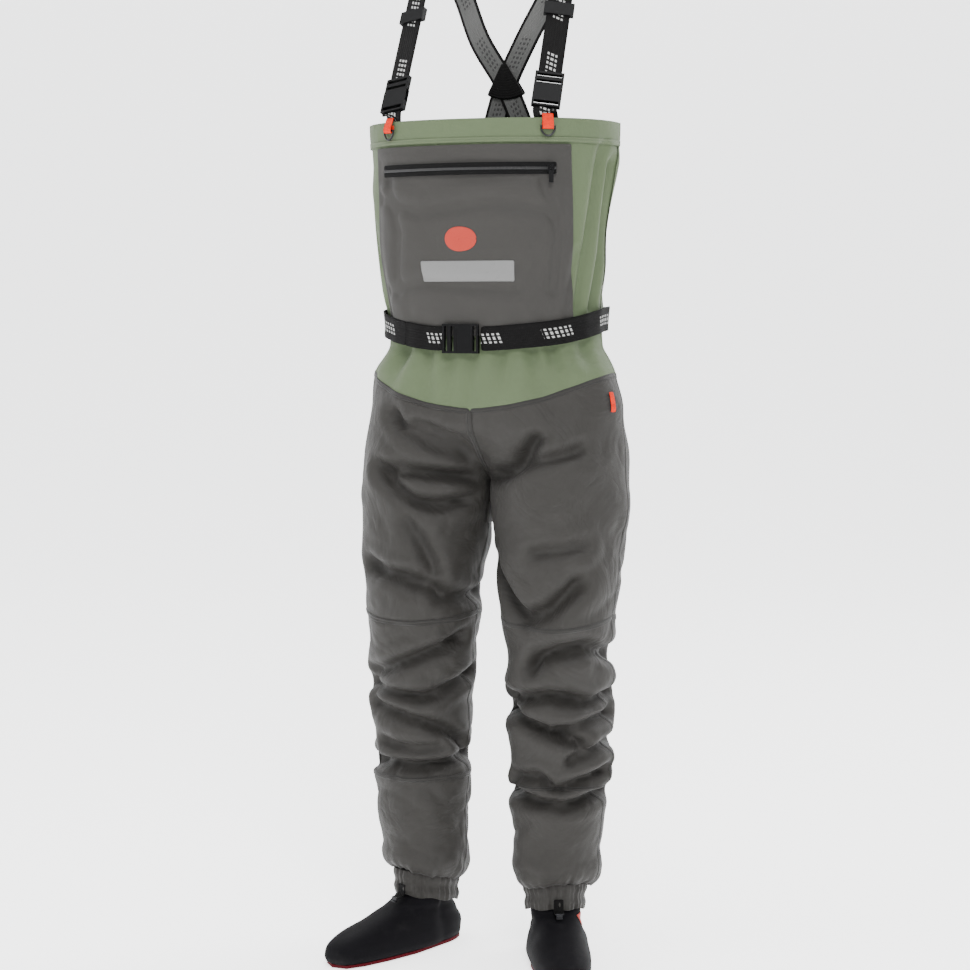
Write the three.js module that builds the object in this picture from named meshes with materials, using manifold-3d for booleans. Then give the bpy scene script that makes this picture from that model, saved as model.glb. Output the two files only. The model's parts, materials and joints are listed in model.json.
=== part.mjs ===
// Stockingfoot chest waders: a bib with a zipped chest pocket, braces, a waist belt, two legs with
// gravel guards, and neoprene socks. Millimetres, +Z up. The wearer faces -Y, so their left is +X,
// and the soles stand on z = 0.

import * as THREE from "three";
import { mergeVertices } from "three/addons/utils/BufferGeometryUtils.js";
import Module from "manifold-3d";

const wasm = await Module();
wasm.setup();

// Driving dimensions
const gap = 0.4; // clearance between pieces that touch
const clothWall = 2; // laminate with its seam tape
const bibTop = 1375;
const hemHeight = 38;
const pocketTopDrop = 41; // bib top to the pocket panel's upper edge
const pocketHalfAngle = 57; // degrees round the body from the centre front
const pocketStandOff = 3; // the pocket's own depth
const zipDrop = 79; // bib top to the zip
const zipHalfAngle = 42;
const zipTapeHeight = 9;
const zipTapeWall = 1.2;
const beltFront = 1027; // height of the belt's centre line
const beltSide = 1059;
const beltWidth = 39;
const beltWall = 2.4;
const beltStandOff = 7; // room for the gathered cloth under the belt
const beltBuckleAngle = -1;
const waistSeamFront = 911;
const waistSeamSide = 967;
const riseTop = 895; // where the two legs' cloth starts to part
const crotch = 767;
const kneeSeam = 573;
const guardTop = 295;
const guardBottom = 124;
const cuffBottom = 80; // at the ankle's middle; the cuff rises towards the toes
const cuffTop = 112;
const cuffTilt = 0.2; // rise per length towards the toes
const cuffHalfWidth = 49;
const cuffHalfLength = 57;
const cuffSetBack = 4; // cuff's middle behind the ankle's
const cuffWall = 3.5;
const ankleClear = 4.2; // sock to the inside of the cuff
const ankleX = 117;
const ankleY = -34;
const toeOut = 24; // degrees
const footLength = 288;
const footWidth = 104;
const heelBack = 72; // ankle centre to the back of the heel
const neopreneWall = 4;
const soleWall = 5;
const sockTop = 132;
const webWidth = 38;
const webWall = 1.8;
const braceX = 133; // braces' distance from the middle at the bib
const braceYaw = 17; // degrees that each brace faces outwards
const braceLean = [-4, 82, 163]; // direction of a brace's straight stretch, wearer's left side
const braceStraight = 180; // length of that stretch above the buckle
const buckleBase = 22; // bib top to the middle of the buckle's socket
const buckleWall = 9;
const buckleOverhang = 8; // buckle's width beyond its webbing
const adjusterAt = 158; // along the straight stretch
const adjusterHeight = 22;
const keeperRise = 72; // bib top to the middle of the back patch
const backSlope = 0.18; // the braces lean forward by this much per height above the back rim
const ringWire = 1.6;
const ringWidth = 26;
const ringDrop = 18;
const hookTabWidth = 16;

const sides = [["left", 1], ["right", -1]];

const keeperHeight = bibTop + keeperRise;

// Height, half width, depth in front of the widest line, depth behind it
const bodyStations = [
  [1380, 210, 160, 72],
  [1285, 203, 154, 78],
  [1170, 192, 144, 86],
  [1085, 184, 130, 94],
  [1045, 180, 121, 98],
  [1010, 184, 121, 102],
  [975, 206, 130, 112],
  [915, 219, 136, 122],
  [845, 225, 134, 128],
  [767, 229, 128, 130],
];
// Height, centre x, centre y, half width, front depth, back depth
const legStations = [
  [895, 115, -2, 115, 132, 130],
  [767, 115, -4, 114.5, 124, 124],
  [705, 117, -14, 107, 110, 108],
  [645, 119, -24, 100, 103, 100],
  [570, 121, -30, 94, 97, 94],
  [485, 122, -28, 88, 90, 88],
  [395, 122, -25, 83, 86, 84],
  [295, 121, -24, 78, 81, 78],
  [215, 120, -27, 75, 78, 75],
  [130, 118, -31, 68, 72, 69],
  [106, 117, -34, 58, 62, 60],
];

const paint = {
  sage: [0x8b9d79, 0.75],
  grey: [0x6c6c68, 0.8],
  legGrey: [0x585752, 0.8],
  black: [0x1c1a19, 0.7],
  plastic: [0x141415, 0.45],
  orange: [0xe63214, 0.6],
  steel: [0x3a3c40, 0.35],
  neoprene: [0x16161a, 0.9],
  sole: [0x5c1420, 0.8],
};
const product = new THREE.Group();

function addNode(name, geometry, colour, parent = product) {
  const [hex, roughness] = paint[colour];
  const metalness = colour === "steel" ? 0.8 : 0;
  const material = new THREE.MeshStandardMaterial({ color: hex, roughness, metalness });
  const mesh = new THREE.Mesh(geometry, material);
  mesh.name = name;
  parent.add(mesh);
  return mesh;
}

// Linear reading of a station table, highest row first
function readStations(stations, height) {
  let row = 0;
  while (row < stations.length - 2 && height < stations[row + 1][0]) row += 1;
  const [upper, lower] = [stations[row], stations[row + 1]];
  const share = THREE.MathUtils.clamp((upper[0] - height) / (upper[0] - lower[0]), 0, 1);
  return upper.map((value, i) => THREE.MathUtils.lerp(value, lower[i], share));
}

// A point on the body's outside, by angle from the centre front (wearer's left positive) and height
function bodyPoint(degrees, height, offset = 0) {
  const [, half, front, back] = readStations(bodyStations, height);
  const at = (angle) => {
    const sine = Math.sin(angle);
    const cosine = Math.cos(angle);
    const round = 2 / 2.3;
    const depth = cosine > 0 ? front : back;
    return new THREE.Vector2(
      half * Math.sign(sine) * Math.abs(sine) ** round,
      -depth * Math.sign(cosine) * Math.abs(cosine) ** round,
    );
  };
  return offsetPoint(at, THREE.MathUtils.degToRad(degrees), 0.02, height, offset);
}

// Moves a plan curve's point outwards; the outside is on the right of increasing parameter
function offsetPoint(curve, parameter, step, height, offset) {
  const point = curve(parameter);
  const along = curve(parameter + step).sub(curve(parameter - step)).normalize();
  return new THREE.Vector3(point.x + along.y * offset, point.y - along.x * offset, height);
}

function waistSeam(degrees) {
  const side = Math.abs(Math.sin(THREE.MathUtils.degToRad(degrees)));
  return THREE.MathUtils.lerp(waistSeamFront, waistSeamSide, side ** 1.5);
}

function beltLine(degrees) {
  const side = 0.5 - 0.5 * Math.cos(Math.min(Math.abs(degrees), 110) / 110 * Math.PI);
  return THREE.MathUtils.lerp(beltFront, beltSide, side);
}

// A point on the left leg's outside. share runs 0 to 1 from the outer seam to the inner seam;
// face is -1 in front and 1 behind. Above the crotch the leg turns into half of the body.
function legPoint(share, face, height, offset = 0) {
  const [, centreX, centreY, half, front, back] = readStations(legStations, height);
  const [, bodyHalf, bodyFront, bodyBack] = readStations(bodyStations, height);
  const blend = THREE.MathUtils.smoothstep(riseTop - height, 0, riseTop - crotch);
  const round = 2 / 2.3;
  const at = (s) => {
    const turn = s * Math.PI;
    const legDepth = face < 0 ? front : back;
    const legX = centreX + half * Math.cos(turn);
    const legY = centreY + face * legDepth * Math.sin(turn);
    const leg = new THREE.Vector2(legX, legY);
    const quarter = turn / 2;
    const bodyDepth = face < 0 ? bodyFront : bodyBack;
    const trunk = new THREE.Vector2(
      bodyHalf * Math.sign(Math.cos(quarter)) * Math.abs(Math.cos(quarter)) ** round,
      face * bodyDepth * Math.sign(Math.sin(quarter)) * Math.abs(Math.sin(quarter)) ** round,
    );
    return trunk.lerp(leg, blend);
  };
  return offsetPoint(at, share, 0.004, height, -face * -offset);
}

// Closed shell from a grid of outside points: rows go up, columns go round anticlockwise from above
function shellFromGrid(grid, wall, ring = false) {
  const columns = grid[0].length;
  const inside = grid.map((row) => row.map((p, j) => {
    const before = row[ring ? (j + columns - 1) % columns : Math.max(j - 1, 0)];
    const after = row[ring ? (j + 1) % columns : Math.min(j + 1, columns - 1)];
    const along = new THREE.Vector2(after.x - before.x, after.y - before.y).normalize();
    return new THREE.Vector3(p.x - along.y * wall, p.y + along.x * wall, p.z);
  }));
  return closedSheet(grid, inside, ring);
}

// Closed solid between two grids of points, joined along their edges
function closedSheet(outside, inside, ring = false) {
  const rows = outside.length;
  const columns = outside[0].length;
  const positions = [];
  for (const grid of [outside, inside]) {
    for (const p of grid.flat()) positions.push(p.x, p.y, p.z);
  }
  const outer = (i, j) => i * columns + (ring ? j % columns : j);
  const inner = (i, j) => rows * columns + outer(i, j);
  const faces = [];
  const quad = (a, b, c, d) => faces.push(a, b, c, a, c, d);
  const lastColumn = ring ? columns : columns - 1;
  const endRow = rows - 1;
  for (let i = 0; i < endRow; i += 1) {
    for (let j = 0; j < lastColumn; j += 1) {
      quad(outer(i, j), outer(i, j + 1), outer(i + 1, j + 1), outer(i + 1, j));
      quad(inner(i, j), inner(i + 1, j), inner(i + 1, j + 1), inner(i, j + 1));
    }
  }
  for (let j = 0; j < lastColumn; j += 1) {
    quad(outer(0, j), inner(0, j), inner(0, j + 1), outer(0, j + 1));
    quad(outer(endRow, j), outer(endRow, j + 1), inner(endRow, j + 1), inner(endRow, j));
  }
  if (!ring) {
    const endColumn = columns - 1;
    for (let i = 0; i < endRow; i += 1) {
      quad(outer(i, 0), outer(i + 1, 0), inner(i + 1, 0), inner(i, 0));
      quad(outer(i, endColumn), inner(i, endColumn), inner(i + 1, endColumn), outer(i + 1, endColumn));
    }
  }
  return indexedGeometry(positions, faces);
}

function indexedGeometry(positions, faces) {
  const geometry = new THREE.BufferGeometry();
  geometry.setAttribute("position", new THREE.Float32BufferAttribute(positions, 3));
  geometry.setIndex(faces);
  return geometry;
}

// Shell over part of the body between two edges, each a height by angle
function bodyShell({ from, to, bottom, top, offset = 0, wall = clothWall, columns, rows }) {
  const grid = [];
  for (let i = 0; i <= rows; i += 1) {
    const row = [];
    for (let j = 0; j <= columns; j += 1) {
      const degrees = THREE.MathUtils.lerp(from, to, j / columns);
      const height = THREE.MathUtils.lerp(bottom(degrees), top(degrees), i / rows);
      row.push(bodyPoint(degrees, height, offset));
    }
    grid.push(row);
  }
  return shellFromGrid(grid, wall);
}

// Shell over one half of a leg; side is 1 on the wearer's left and -1 on their right
function legShell(side, face, bottom, top, rows, columns, seamShare) {
  const grid = [];
  for (let i = 0; i <= rows; i += 1) {
    const row = [];
    for (let j = 0; j <= columns; j += 1) {
      const share = THREE.MathUtils.lerp(seamShare, 1 - seamShare, j / columns);
      const height = THREE.MathUtils.lerp(bottom(share), top(share), i / rows);
      const point = legPoint(share, face, height);
      point.x = Math.max(point.x, gap) * side;
      row.push(point);
    }
    if (face * side < 0) row.reverse();
    grid.push(row);
  }
  return shellFromGrid(grid, clothWall);
}

// Strip of webbing along centre points, each with the direction its face looks
function ribbon(stations, width, wall) {
  const positions = [];
  stations.forEach(({ point, normal }, i) => {
    const before = stations[Math.max(i - 1, 0)].point;
    const after = stations[Math.min(i + 1, stations.length - 1)].point;
    const along = after.clone().sub(before).normalize();
    const across = along.clone().cross(normal).normalize();
    const face = across.clone().cross(along).normalize();
    for (const [u, v] of [[-1, -1], [1, -1], [1, 1], [-1, 1]]) {
      const edge = point.clone().addScaledVector(across, u * width / 2);
      const corner = edge.addScaledVector(face, v * wall / 2);
      positions.push(corner.x, corner.y, corner.z);
    }
  });
  const faces = [];
  const last = (stations.length - 1) * 4;
  for (let i = 0; i < stations.length - 1; i += 1) {
    for (let k = 0; k < 4; k += 1) {
      const [a, b] = [i * 4 + k, i * 4 + (k + 1) % 4];
      faces.push(a, a + 4, b, b, a + 4, b + 4);
    }
  }
  faces.push(0, 1, 2, 0, 2, 3, last, last + 2, last + 1, last, last + 3, last + 2);
  return indexedGeometry(positions, faces);
}

// Round wire along a closed plane loop
function wireLoop(points, planeNormal, radius, facets = 8) {
  const positions = [];
  const faces = [];
  const count = points.length;
  points.forEach((point, i) => {
    const along = points[(i + 1) % count].clone().sub(points[(i + count - 1) % count]).normalize();
    const outwards = along.clone().cross(planeNormal);
    for (let k = 0; k < facets; k += 1) {
      const turn = k / facets * 2 * Math.PI;
      const p = point.clone().addScaledVector(outwards, radius * Math.cos(turn))
        .addScaledVector(planeNormal, radius * Math.sin(turn));
      positions.push(p.x, p.y, p.z);
    }
  });
  for (let i = 0; i < count; i += 1) {
    for (let k = 0; k < facets; k += 1) {
      const [a, b] = [i * facets + k, i * facets + (k + 1) % facets];
      const [c, d] = [((i + 1) % count) * facets + k, ((i + 1) % count) * facets + (k + 1) % facets];
      faces.push(a, c, b, b, c, d);
    }
  }
  return indexedGeometry(positions, faces);
}

function asSolid(geometry) {
  const bare = geometry.index ? geometry.toNonIndexed() : geometry.clone();
  for (const name of Object.keys(bare.attributes)) if (name !== "position") bare.deleteAttribute(name);
  const merged = mergeVertices(bare, 1e-4);
  const mesh = new wasm.Mesh({
    numProp: 3,
    vertProperties: merged.attributes.position.array,
    triVerts: new Uint32Array(merged.index.array),
  });
  return new wasm.Manifold(mesh);
}

function asGeometry(solid) {
  const mesh = solid.getMesh();
  return indexedGeometry(Array.from(mesh.vertProperties), Array.from(mesh.triVerts));
}

// Box by its lowest and highest corners
function block(low, high) {
  const size = high.map((value, i) => value - low[i]);
  const middle = high.map((value, i) => (value + low[i]) / 2);
  return asSolid(new THREE.BoxGeometry(...size).translate(...middle));
}

function rodAlongX(radius, length, y, z) {
  const rod = new THREE.CylinderGeometry(radius, radius, length, 16);
  return asSolid(rod.rotateZ(Math.PI / 2).translate(0, y, z));
}

// Group whose local x, y and z axes are width, length and outward face
function frameGroup(origin, along, normal) {
  const width = along.clone().cross(normal).normalize();
  const face = width.clone().cross(along).normalize();
  const group = new THREE.Group();
  const frame = new THREE.Matrix4().makeBasis(width, along.clone().normalize(), face);
  group.applyMatrix4(frame.setPosition(origin));
  product.add(group);
  return group;
}

function yawNormal(degrees) {
  const turn = THREE.MathUtils.degToRad(degrees);
  return new THREE.Vector3(Math.sin(turn), -Math.cos(turn), 0);
}

// Frame on the body's outside: local x goes round the body, y up and z outwards
function bodyFrame(degrees, height, offset) {
  const point = bodyPoint(degrees, height, offset);
  const outwards = point.clone().sub(bodyPoint(degrees, height, offset - 5)).normalize();
  const group = new THREE.Group();
  const round = new THREE.Vector3(0, 0, 1).cross(outwards).normalize();
  const frame = new THREE.Matrix4().makeBasis(round, new THREE.Vector3(0, 0, 1), outwards);
  group.applyMatrix4(frame.setPosition(point));
  product.add(group);
  return group;
}

// Bib: front and back panels, each with a folded hem above it
const sideSeam = 90 - 0.12;
for (const [face, centre] of [["front", 0], ["back", 180]]) {
  const span = { from: centre - sideSeam, to: centre + sideSeam, columns: 18 };
  const hemBottom = () => bibTop - hemHeight;
  addNode(`bib_${face}`, bodyShell({ ...span, bottom: beltLine, top: hemBottom, rows: 4 }), "sage");
  addNode(`bib_hem_${face}`, bodyShell({
    ...span,
    bottom: () => bibTop - hemHeight + gap,
    top: () => bibTop,
    rows: 1,
    offset: 0.6,
    wall: clothWall + 1,
  }), "sage");
  addNode(`waist_${face}`, bodyShell({
    ...span, bottom: waistSeam, top: (degrees) => beltLine(degrees) - gap, rows: 3,
  }), "sage");
}

// Chest pocket: a panel that stands off the bib, slit along the zip
const zipHeight = bibTop - zipDrop;
const pocketOffset = pocketStandOff + clothWall;
const pocketPanel = bodyShell({
  from: -pocketHalfAngle, to: pocketHalfAngle, columns: 16, rows: 4, offset: pocketOffset,
  bottom: (degrees) => beltLine(degrees) + (beltWidth + buckleOverhang) / 2 + 2,
  top: () => bibTop - pocketTopDrop,
});
const slit = bodyShell({
  from: -zipHalfAngle + 2,
  to: zipHalfAngle - 2,
  columns: 16,
  rows: 1,
  offset: pocketOffset + 2,
  wall: clothWall + 4,
  bottom: () => zipHeight - 3, top: () => zipHeight + 3,
});
addNode("chest_pocket", asGeometry(asSolid(pocketPanel).subtract(asSolid(slit))), "grey");

// Zip: two tapes on one circle, which the slider follows
const zipEnd = bodyPoint(zipHalfAngle, zipHeight, pocketOffset);
const zipFront = bodyPoint(0, zipHeight, pocketOffset);
const zipRise = zipEnd.y - zipFront.y;
const zipCentreY = zipFront.y + (zipEnd.x ** 2 + zipRise ** 2) / (2 * zipRise);
const panelReach = Array.from({ length: zipHalfAngle }, (_, degrees) => {
  const point = bodyPoint(degrees, zipHeight, pocketOffset);
  return Math.hypot(point.x, point.y - zipCentreY);
});
const zipRadius = Math.max(...panelReach) + gap + 0.4 + zipTapeWall;
const zipEndAngle = THREE.MathUtils.radToDeg(Math.asin(zipEnd.x / zipRadius));

function zipPoint(degrees, height, offset) {
  const turn = THREE.MathUtils.degToRad(degrees);
  const radius = zipRadius + offset;
  return new THREE.Vector3(radius * Math.sin(turn), zipCentreY - radius * Math.cos(turn), height);
}

for (const [name, bottom, top] of [["lower", -zipTapeHeight, -0.3], ["upper", 0.3, zipTapeHeight]]) {
  const grid = [bottom, top].map((rise) => Array.from({ length: 25 }, (_, j) =>
    zipPoint(THREE.MathUtils.lerp(-zipEndAngle, zipEndAngle, j / 24), zipHeight + rise, 0)));
  addNode(`zip_tape_${name}`, shellFromGrid(grid, zipTapeWall), "black");
}

const sliderAngle = zipEndAngle - 1.6;
const sliderGroup = new THREE.Group();
sliderGroup.rotation.z = THREE.MathUtils.degToRad(sliderAngle);
sliderGroup.position.set(0, zipCentreY, 0);
product.add(sliderGroup);
const sliderFace = -(zipRadius + gap);
const pullPinY = sliderFace - 5;
const pullPinZ = zipHeight + 1;
const sliderSolid = block([-5, sliderFace - 2.6, zipHeight - 6.5], [5, sliderFace, zipHeight + 6.5])
  .add(block([-1.5, pullPinY - 2.4, pullPinZ - 3], [1.5, sliderFace - 2, pullPinZ + 3]))
  .subtract(rodAlongX(1.5, 8, pullPinY, pullPinZ));
addNode("zip_slider", asGeometry(sliderSolid), "plastic", sliderGroup);
const pullSolid = block([-3.6, pullPinY - 1.1, pullPinZ - 24], [3.6, pullPinY + 1.1, pullPinZ + 1.8])
  .subtract(block([-2.1, pullPinY - 4, pullPinZ - 4.5], [2.1, pullPinY + 4, pullPinZ + 4]))
  .add(rodAlongX(1.05, 6, pullPinY, pullPinZ));
addNode("zip_pull", asGeometry(pullSolid), "plastic", sliderGroup);

// Side-release buckle in its own frame: x across, y from socket to plug, z outwards
function buckleSocket(width, wall) {
  const half = width / 2;
  return asGeometry(block([-half, -22, -wall / 2], [half, 15, wall / 2])
    .subtract(block([-half + 3.5, -8, -wall / 2 + 1.7], [half - 3.5, 16, wall / 2 - 1.7]))
    .subtract(block([-half - 1, -5, -wall / 2 + 1.7], [half + 1, 16, wall / 2 - 1.7]))
    .subtract(block([-half + 3.5, -19, -wall], [half - 3.5, -13, wall])));
}

function bucklePlug(width, wall) {
  const half = width / 2;
  return asGeometry(block([-half, 15.6, -wall / 2 + 0.8], [half, 40, wall / 2 - 0.8])
    .add(block([-3.5, -7, -wall / 2 + 2.1], [3.5, 16, wall / 2 - 2.1]))
    .subtract(block([-half + 3.5, 20, -wall], [half - 3.5, 25, wall]))
    .subtract(block([-half + 3.5, 31, -wall], [half - 3.5, 36, wall])));
}

function buckleProng(width, wall, side) {
  const half = width / 2;
  const outline = new THREE.Shape([
    [half - 9, 14.6], [half - 13, 14.6], [half - 13, -4], [half - 10, -7], [half - 6, -4.5],
    [half - 2.2, 2], [half - 2.2, 9], [half - 7, 9],
  ].map(([x, y]) => new THREE.Vector2(x * side, y)));
  const depth = wall - 4.2;
  return new THREE.ExtrudeGeometry(outline, { depth, bevelEnabled: false }).translate(0, 0, -depth / 2);
}

function addBuckle(prefix, group, width, wall) {
  addNode(`${prefix}_socket`, buckleSocket(width, wall), "plastic", group);
  addNode(`${prefix}_plug`, bucklePlug(width, wall), "plastic", group);
  addNode(`${prefix}_prong_a`, buckleProng(width, wall, 1), "plastic", group);
  addNode(`${prefix}_prong_b`, buckleProng(width, wall, -1), "plastic", group);
}

// Waist belt: webbing round the body, closed by a buckle at the centre front
const beltOffset = beltStandOff + beltWall;
const beltBuckleHalf = 24.5; // buckle's middle to the ends of the webbing
const beltMiddle = bodyPoint(beltBuckleAngle, beltFront, beltOffset - beltWall / 2);
const beltGroup = frameGroup(
  new THREE.Vector3(beltMiddle.x, beltMiddle.y - 0.8, beltFront),
  new THREE.Vector3(-1, 0, 0),
  new THREE.Vector3(0, -1, 0),
);
addBuckle("belt_buckle", beltGroup, beltWidth + buckleOverhang, buckleWall);
const beltHalf = readStations(bodyStations, beltFront)[1];
const beltStart = THREE.MathUtils.radToDeg(Math.asin(beltBuckleHalf / beltHalf));
const plugReach = 41;
const plugAngle = THREE.MathUtils.radToDeg(Math.asin(plugReach / readStations(bodyStations, beltFront)[1]));
addNode("belt_webbing", bodyShell({
  from: beltBuckleAngle + beltStart, to: 360 + beltBuckleAngle - plugAngle - 24, columns: 36, rows: 1,
  offset: beltOffset, wall: beltWall,
  bottom: (degrees) => beltLine(degrees > 180 ? 360 - degrees : degrees) - beltWidth / 2,
  top: (degrees) => beltLine(degrees > 180 ? 360 - degrees : degrees) + beltWidth / 2,
}), "black");
addNode("belt_end", bodyShell({
  from: beltBuckleAngle - plugAngle - 24 + 0.15, to: beltBuckleAngle - plugAngle, columns: 6, rows: 1,
  offset: beltOffset, wall: beltWall,
  bottom: (degrees) => beltLine(degrees) - beltWidth / 2,
  top: (degrees) => beltLine(degrees) + beltWidth / 2,
}), "black");
addNode("belt_loop", bodyShell({
  from: 176, to: 184, columns: 2, rows: 1, offset: beltOffset + gap + 1.6, wall: 1.6,
  bottom: (degrees) => beltLine(degrees) - beltWidth / 2 - 7,
  top: (degrees) => beltLine(degrees) + beltWidth / 2 + 7,
}), "black");

// Where a brace's centre line lies behind the back, on a plane that leans forward from inside the rim
const backRimY = bodyPoint(180, bibTop - hemHeight, -(clothWall + 1) - 2 * webWall - 2).y;
const backNormal = new THREE.Vector3(0, 1, backSlope).normalize();
function backPoint(x, height, lift) {
  const onPlane = new THREE.Vector3(x, backRimY - backSlope * (height - bibTop + hemHeight), height);
  return onPlane.addScaledVector(backNormal, lift);
}

// Braces: tab, buckle, elastic stretch with its adjuster, then over the shoulder to the back
for (const [name, side] of sides) {
  const along = new THREE.Vector3(braceLean[0] * side, braceLean[1], braceLean[2]).normalize();
  const normal = yawNormal(braceYaw * side);
  const tabShare = braceX / readStations(bodyStations, bibTop)[1];
  const tabAngle = THREE.MathUtils.radToDeg(Math.asin(tabShare ** (2.3 / 2)));
  const tabSag = (webWidth / 2) ** 2 / 150; // a flat tab inside a round rim touches at its edges
  const insideHem = -(clothWall + 1) - webWall / 2 - gap - tabSag;
  const tabLow = bodyPoint(tabAngle * side, bibTop - hemHeight, insideHem - 1);
  const tabRim = bodyPoint(tabAngle * side, bibTop - 2, insideHem - 1);
  const rimNormal = tabRim.clone().sub(bodyPoint(tabAngle * side, bibTop - 2, insideHem - 6)).normalize();
  const middle = new THREE.Vector3(tabRim.x, tabRim.y + 1, bibTop + buckleBase + 14);
  const group = frameGroup(middle, along, normal);
  addBuckle(`brace_buckle_${name}`, group, webWidth + buckleOverhang, buckleWall);
  const tabTop = middle.clone().addScaledVector(along, -22 - gap - 1.4);
  addNode(`brace_tab_${name}`, ribbon([
    { point: tabLow, normal: rimNormal },
    { point: tabRim, normal: rimNormal },
    {
      point: tabTop.clone().addScaledVector(along, -5),
      normal: rimNormal.clone().add(normal.clone().multiplyScalar(4)),
    },
    { point: tabTop, normal },
  ], webWidth, webWall), "black");

  const straightAt = (distance) => middle.clone().addScaledVector(along, distance);
  const straightEnd = 40 + braceStraight;
  addNode(`brace_elastic_${name}`, ribbon([
    { point: straightAt(40 + gap), normal },
    { point: straightAt(straightEnd), normal },
  ], webWidth, webWall), "black");

  const adjusterGroup = frameGroup(straightAt(adjusterAt), along, normal);
  const adjusterHalf = webWidth / 2 + 5;
  addNode(`brace_adjuster_${name}`, asGeometry(
    block([-adjusterHalf, -adjusterHeight / 2, -4.5], [adjusterHalf, adjusterHeight / 2, 4.5])
      .subtract(block(
        [-webWidth / 2 - 1, -adjusterHeight, -webWall / 2 - 0.6],
        [webWidth / 2 + 1, adjusterHeight, webWall / 2 + 0.6],
      )),
  ), "plastic", adjusterGroup);

  // From the straight stretch over the shoulder and down to the crossing and the back of the bib
  const endPoint = straightAt(straightEnd + 3 * gap);
  const crossLift = side * (webWall / 2 + 0.5); // one brace lies over the other where they cross
  const route = [
    [endPoint, normal],
    [endPoint.clone().addScaledVector(along, 9), normal],
    [new THREE.Vector3(side * 116, endPoint.y + 22, endPoint.z + 24), yawNormal(braceYaw * side).setZ(0.7)],
    [new THREE.Vector3(side * 106, endPoint.y + 46, endPoint.z + 33), new THREE.Vector3(0, -0.1, 1)],
    [new THREE.Vector3(side * 94, endPoint.y + 66, endPoint.z + 22), new THREE.Vector3(0, 0.7, 0.7)],
    [new THREE.Vector3(side * 80, endPoint.y + 78, endPoint.z - 6), new THREE.Vector3(0, 1, 0.35)],
    [backPoint(side * 40, keeperHeight + 71, crossLift), backNormal],
    [backPoint(0, keeperHeight, crossLift), backNormal],
    [backPoint(-side * 26, bibTop + 4, crossLift), backNormal],
    [backPoint(-side * 36, bibTop - hemHeight + 4, crossLift), backNormal],
  ];
  const routeCurve = new THREE.CatmullRomCurve3(route.map(([point]) => point), false, "centripetal");
  const steps = 27;
  const stations = Array.from({ length: steps + 1 }, (_, i) => {
    const place = i / steps * (route.length - 1);
    const low = Math.min(Math.floor(place), route.length - 2);
    const faceOut = route[low][1].clone().lerp(route[low + 1][1], place - low);
    return { point: routeCurve.getPoint(i / steps), normal: faceOut };
  });
  addNode(`brace_back_${name}`, ribbon(stations, webWidth, webWall), "black");

  // Accessory ring in its ribbon loop on the hem
  const ringGroup = bodyFrame(tabAngle * side, bibTop - 14, 0.6 + gap + 1.8);
  const barZ = 3.6;
  const loopHalf = 9;
  const loopOutside = new THREE.Shape();
  loopOutside.moveTo(0, -4);
  loopOutside.lineTo(0, 20);
  loopOutside.lineTo(1.4, 20);
  loopOutside.lineTo(barZ + 2.6, 3);
  loopOutside.absarc(barZ, 0, ringWire + gap + 1.2, 0.6, -2.2, true);
  loopOutside.lineTo(1.4, -4);
  const loopExtrusion = { depth: 2 * loopHalf, bevelEnabled: false, curveSegments: 8 };
  const loopSolid = asSolid(new THREE.ExtrudeGeometry(loopOutside, loopExtrusion)
    .translate(0, 0, -loopHalf).rotateY(-Math.PI / 2))
    .subtract(rodAlongX(ringWire + gap, 3 * loopHalf, 0, barZ));
  addNode(`ring_loop_${name}`, asGeometry(loopSolid), "orange", ringGroup);
  const halfRing = ringWidth / 2 - ringWire;
  const bend = [];
  for (let i = 0; i <= 10; i += 1) {
    const turn = Math.PI * (1 + i / 10);
    const drop = (ringDrop - 2 * ringWire) * Math.sin(turn);
    bend.push(new THREE.Vector3(halfRing * Math.cos(turn), drop, barZ));
  }
  for (let i = 1; i < 4; i += 1) {
    bend.push(new THREE.Vector3(THREE.MathUtils.lerp(halfRing, -halfRing, i / 4), 0, barZ));
  }
  const ring = wireLoop(bend, new THREE.Vector3(0, 0, 1), ringWire);
  addNode(`accessory_ring_${name}`, ring, "steel", ringGroup);
}

// Patch that holds the braces where they cross
const patch = new THREE.Shape();
patch.moveTo(-4, 34);
patch.lineTo(4, 34);
patch.lineTo(33, -16);
patch.quadraticCurveTo(0, -32, -33, -16);
patch.closePath();
addNode("back_keeper", new THREE.ExtrudeGeometry(patch, { depth: 2, bevelEnabled: false, curveSegments: 8 })
  .rotateX(Math.PI / 2).rotateZ(Math.PI).rotateX(Math.atan(backSlope))
  .translate(...backPoint(0, keeperHeight, webWall + 0.5 + gap + 1.2).toArray()), "black");

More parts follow.
